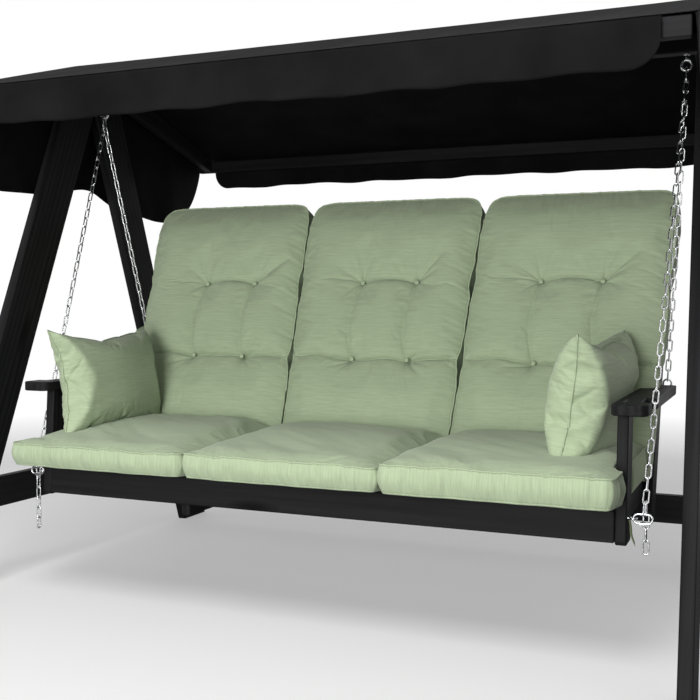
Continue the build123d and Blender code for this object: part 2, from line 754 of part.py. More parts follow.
def make_buttons():
    """One small covered button at the bottom of each tuft."""
    seams = back_seams()
    buttons = []
    for left, right in seams:
        for x, up in tuft_places(left, right):
            disc = fillet(Cylinder(BUTTON_RADIUS, BUTTON_THICK).edges(), 2)
            out = BACK_PAD_CROWN - TUFT_DEPTH + BUTTON_THICK / 2 + 0.6
            buttons.append(BACK_PLANE.location * (Pos(x, up, out) * disc))
    return Compound(children=buttons)


def back_seams():
    """The seam pairs of the left, middle and right back cushions."""
    gap = CUSHION_GAP / 2
    inner = (BACK_PAD_LOW, BACK_PAD_HIGH)
    outer = (BACK_EDGE_LOW, BACK_EDGE_HIGH)

    def shifted(pair, sign, step):
        return (sign * pair[0] + step, sign * pair[1] + step)

    return [
        (shifted(outer, LEFT, 0), shifted(inner, LEFT, -gap)),
        (shifted(inner, LEFT, gap), shifted(inner, RIGHT, -gap)),
        (shifted(inner, RIGHT, gap), shifted(outer, RIGHT, 0)),
    ]


def make_pillow(base, lean, turn, outer, inner):
    """A scatter cushion standing on edge along Y: full in the middle, drawn thin at its seams."""
    half_length = PILLOW_LENGTH / 2
    half_height = PILLOW_HEIGHT / 2
    stations = [(-half_length, 0.97, 0.1), (-half_length * 0.72, 0.92, 0.72), (0, 0.9, 1),
                (half_length * 0.72, 0.92, 0.72), (half_length, 0.97, 0.1)]
    sections = []
    for y, tall, full in stations:
        high = half_height * tall
        faces = [
            ThreePointArc((0, -high), (outer * full, 0), (0, high)),
            ThreePointArc((0, high), (-inner * full, 0), (0, -high)),
        ]
        sections.append(Plane.XZ.offset(-y) * make_face(faces))
    solid = loft(sections)
    standing = Pos(*base) * Rot(0, 0, turn) * Rot(0, lean, 0) * Pos(0, 0, half_height) * solid
    return standing - behind_back(PILLOW_CONTACT)


def make_tie():
    """A flat cushion tie: two short tape ends hanging from the right front screw eye."""
    root = FRONT_EYE + Vector(4.5, 0, -RING_WIRE / 2 - 0.3)
    ends = []
    for shift, length in ((-6, 58), (6, 66)):
        tape = Box(1.2, 9, length)
        ends.append(Pos(root.X, root.Y + shift, root.Z - length / 2) * tape)
    return Compound(children=ends)


# Fixings

def fastener(point, direction, radius, length, head_radius, head_height, room=0):
    """A headed fastener whose head stands on a point; room makes it larger, to cut its hole."""
    plane = Plane(origin=point, z_dir=direction)
    shank = Pos(0, 0, -length / 2) * Cylinder(radius + room, length)
    head = Cylinder(head_radius, head_height, align=(Align.CENTER, Align.CENTER, Align.MIN))
    return plane.location * (shank if room else shank + fillet(head.edges().sort_by(Axis.Z)[-1], 1))


BOLT_LENGTH = 95
TOP_BOLTS = [(12, TOP_BEAM_Z + z) for z in (34, 74)]
REAR_BOLTS = [(REAR_BEAM_Y + LEG_THICK / 2, REAR_BEAM_Z + z) for z in (26, 69)]


def frame_bolt(y, z, room=0):
    """A coach bolt through a right-hand leg into the end of a beam."""
    outside = (FRAME_INNER + LEG_THICK + TOUCH, y, z)
    return lean_in(fastener(outside, (1, 0, 0), 4, BOLT_LENGTH, 9, 4, room))


def frame_bolt_places():
    front = [(-y, z) for y, z in TOP_BOLTS]
    return front + TOP_BOLTS + REAR_BOLTS


def with_bolt_holes(solid, places=None):
    """Cuts the bolts' holes; on a beam, at both of its ends."""
    for y, z in places or frame_bolt_places():
        hole = frame_bolt(y, z, room=0.05)
        solid = solid - hole
        if places is None:
            solid = solid - mirror(hole, about=MIRROR)
    return solid


SCREW_LENGTH = 55
ARM_SCREWS = [seat_point(POST_OUTER - SEAT_THICK / 2, y, ARM_TOP + 0.1) for y in (42, 84)]
POST_SCREWS = [seat_point(POST_OUTER + 0.1, 52, z) for z in (26, 56)]


def bench_screws(room=0):
    """The screws of the right side: down through the armrest, and in through the post."""
    down = [fastener(point, (0, 0, 1), 2.5, SCREW_LENGTH, 5, 2, room) for point in ARM_SCREWS]
    across = [fastener(point, (1, 0, 0), 2.5, SCREW_LENGTH, 5, 2, room) for point in POST_SCREWS]
    return down + across


def with_screw_holes(solid):
    for hole in bench_screws(room=0.05):
        solid = solid - hole
    return solid


def both(solid):
    """A node of two like pieces, one on each side."""
    return Compound(children=list(on_both_sides(solid).values()))


def both_lists(solids):
    """Right and left nodes from a list of right-hand pieces."""
    left = [mirror(solid, about=MIRROR) for solid in solids]
    return {RIGHT: Compound(children=solids), LEFT: Compound(children=left)}


def make_nodes():
    """Every node of the swing by name."""
    nodes = {}

    def add_pair(name, right):
        for side, solid in on_both_sides(right).items():
            nodes[f"{name}_{side_name(side)}"] = solid

    add_pair("front_leg", with_bolt_holes(make_leg(True), [(-y, z) for y, z in TOP_BOLTS]))
    add_pair("rear_leg", with_bolt_holes(make_leg(False), TOP_BOLTS + REAR_BOLTS))
    add_pair("side_bar", make_side_bar())
    rear_beam = make_cross_beam(REAR_BEAM_Y, REAR_BEAM_Z, LEG_THICK, BAR_WIDTH)
    nodes["rear_beam"] = with_bolt_holes(rear_beam)
    bolt_hole = Pos(HANG_X, 0, TOP_BEAM_Z) * Cylinder(EYE_WIRE / 2 + 0.05, 4 * TOP_BEAM_HEIGHT)
    top_beam = make_cross_beam(-TOP_BEAM_THICK / 2, TOP_BEAM_Z, TOP_BEAM_THICK, TOP_BEAM_HEIGHT)
    nodes["top_beam"] = with_bolt_holes(top_beam) - bolt_hole - mirror(bolt_hole, about=MIRROR)
    add_pair("front_rafter", make_rafter(True))
    add_pair("rear_rafter", make_rafter(False))
    nodes["front_eave_rail"] = make_eave_rail(True)
    nodes["rear_eave_rail"] = make_eave_rail(False)
    nodes["canopy_roof"] = make_roof()
    add_pair("canopy_valance", make_side_valance())
    nodes["canopy_valance_front"] = make_end_valance(True)
    nodes["canopy_valance_rear"] = make_end_valance(False)
    bolts = [frame_bolt(y, z) for y, z in frame_bolt_places()]
    nodes["frame_bolts"] = Compound(children=[solid for bolt in bolts for solid in on_both_sides(bolt).values()])

    nodes["eye_bolts"] = both(make_eye_bolt())
    nodes["eye_bolt_nuts"] = both(make_eye_nut())
    nodes["hanging_shackles"] = both(make_shackle())
    add_chains(nodes)

    nodes["front_rail"] = make_apron()
    nodes["rear_rail"] = make_rear_rail()
    add_pair("side_rail", with_screw_holes(make_side_rail()))
    nodes["bearer_left"] = make_bearer(LEFT)
    nodes["bearer_right"] = make_bearer(RIGHT)
    nodes["seat_slats"] = make_seat_slats()
    add_pair("arm_post", with_screw_holes(make_post()))
    add_pair("armrest", with_screw_holes(make_armrest()))
    add_pair("back_stile", make_stile())
    nodes["back_slats"] = make_back_slats()
    screws = [solid for screw in bench_screws() for solid in on_both_sides(screw).values()]
    nodes["bench_screws"] = Compound(children=screws)
    add_cushions(nodes)
    return nodes


def add_chains(nodes):
    """The four chains, the two tails and the loops and eyes at their lower ends."""
    front_loop, front_nut, front_hold = front_hardware()
    rear_loop, rear_nut, rear_hold = rear_hardware()
    rows = {
        "front_chain": (front_hold, FRONT_LINKS, LINK_ASIDE, LINK_RISE),
        "rear_chain": (rear_hold, REAR_LINKS, 0, 0),
    }
    for name, (hold, count, aside, rise) in rows.items():
        upper = shackle_contact(hold)
        ends = (upper, SHACKLE_WIRE / 2, hold, QUICK_WIRE / 2)
        links, along, pitch, first = chain_between(*ends, count, aside, rise)
        print(name, "links", count, "pitch", round(pitch, 2), "of at most", LINK_INNER)
        for side, solid in both_lists(links).items():
            nodes[f"{name}_{side_name(side)}"] = solid
        if name == "front_chain":
            tail, pivot = make_tail(first + along * (pitch * (count - 2)), along)
            print("tail hinge", [round(value, 2) for value in pivot])
            nodes["chain_tail_left"] = Compound(children=[mirror(link, about=MIRROR) for link in tail])
            nodes["chain_tail_right"] = Compound(children=tail[:RIGHT_TAIL_LINKS])
    nodes["quick_links"] = Compound(children=list(both(front_loop).children) + list(both(rear_loop).children))
    nodes["quick_link_nuts"] = Compound(children=list(both(front_nut).children) + list(both(rear_nut).children))
    eyes = [make_screw_eye(FRONT_EYE), make_screw_eye(REAR_EYE)]
    nodes["screw_eyes"] = Compound(children=[solid for eye in eyes for solid in on_both_sides(eye).values()])


def add_cushions(nodes):
    """Seat cushions, tufted back cushions, buttons, scatter cushions and the tie."""
    edge = SEAT_PAD_WIDTH / 2
    gap = CUSHION_GAP / 2
    nodes["seat_cushion_left"] = make_seat_cushion(-OUTER_PAD_EDGE, -edge - gap) - post_clearance(LEFT)
    nodes["seat_cushion_middle"] = make_seat_cushion(-edge + gap, edge - gap)
    nodes["seat_cushion_right"] = make_seat_cushion(edge + gap, OUTER_PAD_EDGE) - post_clearance(RIGHT)
    left, middle, right = back_seams()
    nodes["back_cushion_left"] = make_back_cushion(*left) - arm_clearance(LEFT) - chain_clearance(LEFT)
    nodes["back_cushion_middle"] = make_back_cushion(*middle)
    nodes["back_cushion_right"] = make_back_cushion(*right) - arm_clearance(RIGHT) - chain_clearance(RIGHT)
    nodes["tuft_buttons"] = make_buttons()
    pillow_base = DECK + SEAT_PAD_HEIGHT + SEAT_PAD_CROWN + PILLOW_CLEAR
    left_base = seat_point(*LEFT_PILLOW, pillow_base)
    right_base = seat_point(*RIGHT_PILLOW, pillow_base)
    nodes["pillow_left"] = make_pillow(left_base, LEFT_PILLOW_LEAN, LEFT_PILLOW_TURN, *LEFT_PILLOW_FACES)
    nodes["pillow_right"] = make_pillow(right_base, RIGHT_PILLOW_LEAN, RIGHT_PILLOW_TURN, *RIGHT_PILLOW_FACES)
    nodes["cushion_tie"] = make_tie()


def main():
    os.makedirs("parts", exist_ok=True)
    for name, shape in make_nodes().items():
        export_step(shape, os.path.join("parts", f"{name}.step"))


main()
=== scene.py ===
"""Looks of a garden swing seat: its cushions, canopy cloth, finishes, light and camera.

Metres, in the part's own frame: +X to the right seen from the front, +Y to the back, +Z up.
"""
from math import cos, pi, radians, sin, tan

import bpy
import numpy as np
from mathutils import Matrix, Vector


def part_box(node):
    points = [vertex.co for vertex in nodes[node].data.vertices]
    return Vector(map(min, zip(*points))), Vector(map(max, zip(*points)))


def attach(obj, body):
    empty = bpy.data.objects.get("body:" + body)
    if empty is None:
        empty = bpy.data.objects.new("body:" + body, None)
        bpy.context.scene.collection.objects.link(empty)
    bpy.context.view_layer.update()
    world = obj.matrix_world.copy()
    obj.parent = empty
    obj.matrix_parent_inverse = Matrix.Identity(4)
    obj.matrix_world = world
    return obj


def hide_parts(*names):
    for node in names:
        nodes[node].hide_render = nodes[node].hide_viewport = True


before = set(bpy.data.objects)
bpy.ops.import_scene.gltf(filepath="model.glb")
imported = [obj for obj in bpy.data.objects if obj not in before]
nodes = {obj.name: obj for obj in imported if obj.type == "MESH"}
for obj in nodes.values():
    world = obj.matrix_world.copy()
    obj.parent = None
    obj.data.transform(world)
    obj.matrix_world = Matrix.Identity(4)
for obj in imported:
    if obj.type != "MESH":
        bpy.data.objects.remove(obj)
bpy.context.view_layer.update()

# View of the photograph
CAMERA_PLACE = (1.2314, -2.9822, 0.8826)
CAMERA_YAW = radians(23.03)
CAMERA_PITCH = radians(2.54)
CAMERA_ROLL = radians(0.11)
CAMERA_LENS = 52.8

# Reclined back: the plane of the cushions' front edges; heights and depths are measured up it and out of it
RECLINE = radians(21.2)
BACK_ORIGIN = np.array([0, 0.014, 0.495])
BACK_UP = np.array([0, sin(RECLINE), cos(RECLINE)])
BACK_OUT = np.array([0, -cos(RECLINE), sin(RECLINE)])
BACK_REAR = -0.104
BACK_LOW = -0.094
BACK_TOP = 0.810
BACK_SEAM = 0.0115
BACK_CORNER = 11
BACK_CROWN = 0.036
TOP_SET_BACK = 0.026
TOP_SET_FROM = 0.66
TOP_SET_TO = 0.84

# Sides of the back cushions: distance from the swing's middle at the plane's origin and at SEAM_HEIGHT
INNER_SEAM = (0.288, 0.315)
OUTER_SEAM = (0.888, 0.936)
SEAM_HEIGHT = 0.803
SIDE_GAP = 0.0045
LEFT_NOTCH = 0.005
RIGHT_NOTCH = 0.010

# Tufts and folds
TUFT_HALF = 0.095
TUFT_SHIFT = 0.022
TUFT_ROWS = (0.228, 0.495)
TUFT_DEPTH = 0.026
DIP_CORE = 0.015
DIP_BOWL = 0.065
WRINKLE_GAIN = 2.2
WRINKLE_WIDTH = 0.0045
WRINKLE_SPREAD = 0.035
SLIT_WIDTH = 0.0042
CREASE_DEPTH = 0.0135
BUTTON_RADIUS = 0.0078
BUTTON_HEIGHT = 0.0045

# Wrinkles of the lower left, lower right, upper left and upper right tufts:
# angle in degrees, length, depth and curl of each
TUFT_RAYS = (
    ((-148, 0.10, 0.006, -0.3), (-122, 0.08, 0.005, -0.2), (-98, 0.06, 0.003, 0), (-170, 0.07, 0.003, 0)),
    ((26, 0.13, 0.006, -0.25), (13, 0.11, 0.004, -0.15), (-26, 0.09, 0.004, 0.2), (-50, 0.08, 0.006, 0.2),
     (-84, 0.06, 0.003, 0)),
    ((92, 0.11, 0.004, 0), (76, 0.12, 0.003, 0), (148, 0.10, 0.005, 0), (174, 0.11, 0.003, 0.1),
     (212, 0.08, 0.004, 0.2)),
    ((41, 0.17, 0.008, 0), (86, 0.10, 0.004, 0), (62, 0.12, 0.004, 0), (17, 0.11, 0.004, 0.1),
     (-14, 0.09, 0.003, 0)),
)

# Cushions
PIPING = 0.0025
SQUARE_CORNER = 40
RING_SHARES = (0.95, 0.8, 0.6, 0.4, 0.2)

# Seat cushions: droop of the front right corner, crown, rise towards the back, height of the boxing
SEATS = {
    "left": (0.0, 0.014, 0.026, 0.069),
    "middle": (0.007, 0.014, 0.022, 0.072),
    "right": (0.0, 0.016, 0.016, 0.080),
}
SEAT_CORNER = 22
SEAT_BULGE = 0.008
FOOT_INSET = 0.008
FOOT_LIFT = 0.006
OVERHANG = 0.15
SEAT_REACH = 0.90
POST_INNER = 0.851
POST_FRONT = -0.449
POST_REAR = -0.333
POST_EASE = 0.04

# Scatter cushions
PILLOW_LENGTH = 0.50
PILLOW_GRID = (62, 88)
PILLOW_SINK = 0.014
PILLOW_CLEAR = 0.031
LET_DOWN_SHARE = 0.6
SLICES = 40
ARM_INNER = 0.844
ARM_UNDER = 0.645
ARM_OVER = 0.72
ARM_BULGE = 0.05
PRESS = 0.006
BLUNT = 0.24

# Cushion tie
TAPE_HALF = 0.0045
TAPE_THICK = 0.0011

# Canopy
CANOPY_THICK = 0.0016
ROOF_SAG = 0.021
FLAP_ROUND = 0.29
FLAP_INNER = 0.225
VALANCE_CORNER = 0.065

# Colours, and how often threads and grain repeat in a metre along and across
COVER_GREEN = (0.345, 0.418, 0.272)
TAPE_GREEN = (0.16, 0.21, 0.10)
SLUB_DASHES = (18, 420, 1)
SLUB_STREAKS = (6, 190, 1)
WEAVE_THREADS = (700, 900, 1)
DASH_SHARE = 0.7
GRAIN_STREAKS = (1.6, 75, 75)
GRAIN_RINGS = (0.8, 16, 16)
GRAIN_KNOTS = (1.7, 7.5, 7.5)
GRAIN_DUST = (3, 5, 5)

# Studio: the floor's grey to the lamps and to the camera, its own glow, and where it turns white
FLOOR_HALF = 14
FLOOR_LIT = 0.35
FLOOR_SEEN = 0.90
FLOOR_GLOW = 0.28
FADE_FROM = 2.2
FADE_TO = 5.5
WORLD_LIGHT = 0.32


# Meshes

def grid_quads(rows, columns, first=0):
    """Quads of a grid of points numbered row by row."""
    row = np.arange(rows - 1)[:, None] * columns
    corner = first + row + np.arange(columns - 1)[None, :]
    return np.stack([corner, corner + 1, corner + columns + 1, corner + columns], -1).reshape(-1, 4)


def band_quads(loops):
    """Quads between closed loops of point numbers, each loop one row further from the front."""
    near, far = loops[:-1], loops[1:]
    quads = np.stack([near, far, np.roll(far, -1, 1), np.roll(near, -1, 1)], -1)
    return quads.reshape(-1, 4)


def rim_of(rows, columns):
    """Point numbers round the edge of a grid, anticlockwise from its lower left corner."""
    grid = np.arange(rows * columns).reshape(rows, columns)
    return np.concatenate([grid[0, :-1], grid[:-1, -1], grid[-1, :0:-1], grid[:0:-1, 0]])


def new_piece(name, points, faces, uv=None, material=None):
    """A mesh object at the origin from points, faces and one UV pair for each face corner."""
    mesh = bpy.data.meshes.new(name)
    mesh.from_pydata(np.asarray(points).reshape(-1, 3).tolist(), [], faces)
    if uv is not None:
        layer = mesh.uv_layers.new(name="cloth")
        layer.data.foreach_set("uv", np.asarray(uv, np.float32).ravel())
    mesh.polygons.foreach_set("use_smooth", np.ones(len(mesh.polygons), bool))
    mesh.update()
    piece = bpy.data.objects.new(name, mesh)
    bpy.context.scene.collection.objects.link(piece)
    if material:
        mesh.materials.append(material)
    return piece


def places_of(piece):
    """The piece's points as an array."""
    flat = np.empty(len(piece.data.vertices) * 3, np.float32)
    piece.data.vertices.foreach_get("co", flat)
    return flat.reshape(-1, 3).astype(float)


def move_points(piece, points):
    """Puts the piece's points at new places."""
    piece.data.vertices.foreach_set("co", np.asarray(points, np.float32).ravel())
    piece.data.update()


def refine(piece):
    """One level of smoothing, the same in view and render."""
    modifier = piece.modifiers.new("smooth", "SUBSURF")
    modifier.levels = 1
    modifier.render_levels = 1


def ring_quads(rings):
    """Quads between rings of point numbers, each ring one step further along, wound against a band's."""
    near, far = rings[:-1], rings[1:]
    return np.stack([near, np.roll(near, -1, 1), np.roll(far, -1, 1), far], -1).reshape(-1, 4)


def corner_uv(corners, shape):
    """UV of a grid of faces from one pair of U and V arrays for each corner of a face."""
    spread = [np.stack([np.broadcast_to(u, shape), np.broadcast_to(v, shape)], -1) for u, v in corners]
    return np.stack(spread, 2).reshape(-1, 2)


def running_length(path):
    """Length along a path of points, from 0 at its first point."""
    return np.concatenate([[0], np.cumsum(np.linalg.norm(np.diff(path, axis=0), axis=1))])


def tube(name, path, radius, sides, material):
    """A round profile carried along a closed path; each ring stands square to the path there."""
    ahead = np.roll(path, -1, 0) - np.roll(path, 1, 0)
    ahead /= np.linalg.norm(ahead, axis=1, keepdims=True)
    steep = np.abs(ahead[:, 2:3]) > 0.8
    guide = np.where(steep, np.array([[1.0, 0.3, 0.0]]), np.array([[0.0, 0.0, 1.0]]))
    side = np.cross(ahead, guide)
    side /= np.linalg.norm(side, axis=1, keepdims=True)
    lift = np.cross(side, ahead)
    angle = np.linspace(0, 2 * pi, sides, endpoint=False)
    ring = np.cos(angle)[None, :, None] * side[:, None] + np.sin(angle)[None, :, None] * lift[:, None]
    points = path[:, None] + radius * ring
    number = np.arange(len(path) * sides).reshape(-1, sides)
    quads = ring_quads(np.vstack([number, number[:1]]))
    length = running_length(path)
    along = np.append(length, length[-1] + 2 * radius)
    around = np.arange(sides + 1) * 2 * pi * radius / sides
    near, far = along[:-1, None], along[1:, None]
    low, high = around[None, :-1], around[None, 1:]
    uv = corner_uv([(low, near), (high, near), (high, far), (low, far)], (len(path), sides))
    return new_piece(name, points, quads.tolist(), uv, material)


def blend_in(value, start, end):
    """Rises smoothly from 0 at start to 1 at end."""
    t = np.clip((value - start) / (end - start), 0, 1)
    return t * t * (3 - 2 * t)


def eased_line(value, places, heights):
    """A line through (place, height) points that leaves and reaches each one level."""
    index = np.clip(np.searchsorted(places, value) - 1, 0, len(places) - 2)
    places = np.asarray(places)
    heights = np.asarray(heights)
    t = np.clip((value - places[index]) / (places[index + 1] - places[index]), 0, 1)
    return heights[index] + (heights[index + 1] - heights[index]) * t * t * (3 - 2 * t)


def soft_waves(value, rng, count, longest, shortest):
    """A sum of sine waves of mixed lengths, with phases drawn at random, about 1 high."""
    lengths = np.geomspace(longest, shortest, count)
    phases = rng.uniform(0, 2 * pi, count)
    total = np.zeros_like(value)
    for length, phase in zip(lengths, phases):
        total = total + np.sin(2 * pi * value / length + phase)
    return total / np.sqrt(count)


# Materials

def node_material(name):
    """A new material with its shader, and helpers to add and join nodes."""
    material = bpy.data.materials.new(name)
    material.use_nodes = True
    tree = material.node_tree
    shader = tree.nodes["Principled BSDF"]

    def add(kind, **values):
        node = tree.nodes.new(kind)
        for key, value in values.items():
            if key in node.inputs:
                node.inputs[key].default_value = value
            else:
                setattr(node, key, value)
        return node

    return material, shader, add, tree.links.new


def ramp(add, low, high, low_colour, high_colour):
    """A colour ramp from one colour at low to another at high."""
    node = add("ShaderNodeValToRGB")
    node.color_ramp.elements[0].position = low
    node.color_ramp.elements[0].color = (*low_colour, 1)
    node.color_ramp.elements[1].position = high
    node.color_ramp.elements[1].color = (*high_colour, 1)
    return node


def shade(colour, factor):
    """A colour with each channel multiplied by a factor."""
    return tuple(channel * factor for channel in colour)


def grey(value):
    """The same value in each channel."""
    return (value, value, value)


def scale_textures(add, join, source, scales):
    """Gives each texture a source's coordinates through a scale of its own."""
    for texture, scale in scales:
        mapping = add("ShaderNodeMapping", Scale=scale)
        join(source, mapping.inputs["Vector"])
        join(mapping.outputs["Vector"], texture.inputs["Vector"])


def slub_cloth(name, colour):
    """Cloth with slubs: thick threads that run on along U in uneven dashes, over a fine plain weave."""
    material, shader, add, join = node_material(name)
    uv = add("ShaderNodeUVMap", uv_map="cloth")
    dashes = add("ShaderNodeTexNoise", Scale=1.0, Detail=3.0, Roughness=0.65)
    streaks = add("ShaderNodeTexNoise", Scale=1.0, Detail=2.0, Roughness=0.5)
    weave = add("ShaderNodeTexChecker", Scale=1.0)
    scales = ((dashes, SLUB_DASHES), (streaks, SLUB_STREAKS), (weave, WEAVE_THREADS))
    scale_textures(add, join, uv.outputs["UV"], scales)
    streak_part = add("ShaderNodeMath", operation="MULTIPLY")
    streak_part.inputs[1].default_value = 1 - DASH_SHARE
    join(streaks.outputs["Fac"], streak_part.inputs[0])
    slubs = add("ShaderNodeMath", operation="MULTIPLY_ADD")
    slubs.inputs[1].default_value = DASH_SHARE
    join(dashes.outputs["Fac"], slubs.inputs[0])
    join(streak_part.outputs["Value"], slubs.inputs[2])
    tones = ramp(add, 0.34, 0.66, shade(colour, 0.84), shade(colour, 1.11))
    join(slubs.outputs["Value"], tones.inputs["Fac"])
    join(tones.outputs["Color"], shader.inputs["Base Color"])
    height = add("ShaderNodeMath", operation="MULTIPLY_ADD")
    height.inputs[1].default_value = 0.25
    join(weave.outputs["Fac"], height.inputs[0])
    join(slubs.outputs["Value"], height.inputs[2])
    relief = add("ShaderNodeBump", Strength=0.35, Distance=0.0008)
    join(height.outputs["Value"], relief.inputs["Height"])
    join(relief.outputs["Normal"], shader.inputs["Normal"])
    shader.inputs["Roughness"].default_value = 0.88
    shader.inputs["Specular IOR Level"].default_value = 0.25
    shader.inputs["Sheen Weight"].default_value = 0.18
    shader.inputs["Sheen Roughness"].default_value = 0.5
    return material


def black_timber(name, grain):
    """Black-stained pine whose grain runs along one direction: streaks, rings and a few knots."""
    material, shader, add, join = node_material(name)
    turn = Vector(grain).normalized().rotation_difference(Vector((1, 0, 0))).to_euler()
    place = add("ShaderNodeTexCoord")
    turned = add("ShaderNodeMapping", Rotation=turn)
    join(place.outputs["Object"], turned.inputs["Vector"])
    streaks = add("ShaderNodeTexNoise", Scale=1.0, Detail=4.0, Roughness=0.6)
    rings = add("ShaderNodeTexWave", Scale=1.0, Distortion=5.0, Detail=2.0, bands_direction="Y")
    knots = add("ShaderNodeTexVoronoi", Scale=1.0)
    dust = add("ShaderNodeTexNoise", Scale=1.0, Detail=2.0)
    scales = ((streaks, GRAIN_STREAKS), (rings, GRAIN_RINGS), (knots, GRAIN_KNOTS), (dust, GRAIN_DUST))
    scale_textures(add, join, turned.outputs["Vector"], scales)
    lines = add("ShaderNodeMath", operation="MULTIPLY_ADD")
    lines.inputs[1].default_value = 0.35
    join(rings.outputs["Fac"], lines.inputs[0])
    join(streaks.outputs["Fac"], lines.inputs[2])
    stain = ramp(add, 0.35, 1.0, (0.006, 0.006, 0.0065), (0.016, 0.016, 0.017))
    join(lines.outputs["Value"], stain.inputs["Fac"])
    knot = ramp(add, 0.05, 0.16, grey(0.25), grey(1))
    join(knots.outputs["Distance"], knot.inputs["Fac"])
    dark = add("ShaderNodeMix", data_type="RGBA", blend_type="MULTIPLY")
    dark.inputs["Factor"].default_value = 1.0
    join(stain.outputs["Color"], dark.inputs["A"])
    join(knot.outputs["Color"], dark.inputs["B"])
    join(dark.outputs["Result"], shader.inputs["Base Color"])
    sheen = ramp(add, 0.3, 0.75, grey(0.46), grey(0.62))
    join(dust.outputs["Fac"], sheen.inputs["Fac"])
    join(sheen.outputs["Color"], shader.inputs["Roughness"])
    relief = add("ShaderNodeBump", Strength=0.22, Distance=0.0012)
    join(lines.outputs["Value"], relief.inputs["Height"])
    join(relief.outputs["Normal"], shader.inputs["Normal"])
    shader.inputs["Specular IOR Level"].default_value = 0.06
    return material


def clouded_steel(name, size, tones, gloss, metallic):
    """Steel whose tone and roughness go together between two values each, in small clouds."""
    material, shader, add, join = node_material(name)
    place = add("ShaderNodeTexCoord")
    cloud = add("ShaderNodeTexNoise", Scale=size, Detail=2.0)
    join(place.outputs["Object"], cloud.inputs["Vector"])
    for (low, high), socket in ((tones, "Base Color"), (gloss, "Roughness")):
        between = ramp(add, 0.3, 0.7, low, high)
        join(cloud.outputs["Fac"], between.inputs["Fac"])
        join(between.outputs["Color"], shader.inputs[socket])
    shader.inputs["Metallic"].default_value = metallic
    return material


def zinc_steel():
    """Bright zinc: pale metal with cloudy patches of finer and coarser crystal."""
    tones = ((0.60, 0.61, 0.62), (0.80, 0.81, 0.82))
    return clouded_steel("zinc_steel", 160.0, tones, (grey(0.20), grey(0.36)), 1.0)


def black_fixings():
    """Black lacquered steel with a slightly uneven gloss."""
    tones = ((0.012, 0.012, 0.013), (0.03, 0.03, 0.032))
    return clouded_steel("black_fixings", 220.0, tones, (grey(0.3), grey(0.5)), 0.0)


def canopy_cloth():
    """Black coated canvas: a fine weave, faint clouds of wear and a dull sheen."""
    material, shader, add, join = node_material("canopy_cloth")
    place = add("ShaderNodeTexCoord")
    weave = add("ShaderNodeTexNoise", Scale=900.0, Detail=1.0)
    cloud = add("ShaderNodeTexNoise", Scale=7.0, Detail=3.0)
    join(place.outputs["Object"], weave.inputs["Vector"])
    join(place.outputs["Object"], cloud.inputs["Vector"])
    tone = ramp(add, 0.3, 0.75, (0.0032, 0.0032, 0.0034), (0.0075, 0.0075, 0.008))
    join(cloud.outputs["Fac"], tone.inputs["Fac"])
    join(tone.outputs["Color"], shader.inputs["Base Color"])
    relief = add("ShaderNodeBump", Strength=0.25, Distance=0.0006)
    join(weave.outputs["Fac"], relief.inputs["Height"])
    join(relief.outputs["Normal"], shader.inputs["Normal"])
    shader.inputs["Roughness"].default_value = 0.8
    shader.inputs["Specular IOR Level"].default_value = 0.05
    return material


# Cloth over filling

def settle(cover, sewn, pressure, growth, stiffness, frames, cap):
    """Runs cloth on a closed cover: the filling presses out and the sewn points hold.

    Each point's step is then shortened by a hyperbolic tangent, so that none passes the cap.
    """
    before = places_of(cover)
    group = cover.vertex_groups.new(name="sewn")
    for points in sewn:
        group.add([int(point) for point in points], 1.0, "REPLACE")
    cloth = cover.modifiers.new("filling", "CLOTH")
    settings = cloth.settings
    settings.quality = 5
    settings.mass = 0.25
    settings.tension_stiffness = stiffness
    settings.compression_stiffness = stiffness
    settings.shear_stiffness = stiffness / 2
    settings.bending_stiffness = 0.4
    settings.tension_damping = 15
    settings.compression_damping = 15
    settings.shear_damping = 15
    settings.use_pressure = True
    settings.uniform_pressure_force = pressure
    settings.shrink_min = -growth
    settings.effector_weights.gravity = 0
    if sewn:
        settings.vertex_group_mass = "sewn"
    cloth.collision_settings.use_collision = False
    cloth.point_cache.frame_start = 1
    cloth.point_cache.frame_end = frames
    scene = bpy.context.scene
    for number in range(1, frames + 1):
        scene.frame_set(number)
    shaped = cover.evaluated_get(bpy.context.evaluated_depsgraph_get())
    flat = np.empty(len(before) * 3, np.float32)
    shaped.data.vertices.foreach_get("co", flat)
    step = flat.reshape(-1, 3) - before
    far = np.linalg.norm(step, axis=1, keepdims=True)
    step *= cap * np.tanh(far / cap) / np.maximum(far, 1e-9)
    cover.modifiers.remove(cloth)
    cover.vertex_groups.remove(group)
    scene.frame_set(1)
    move_points(cover, before + step)


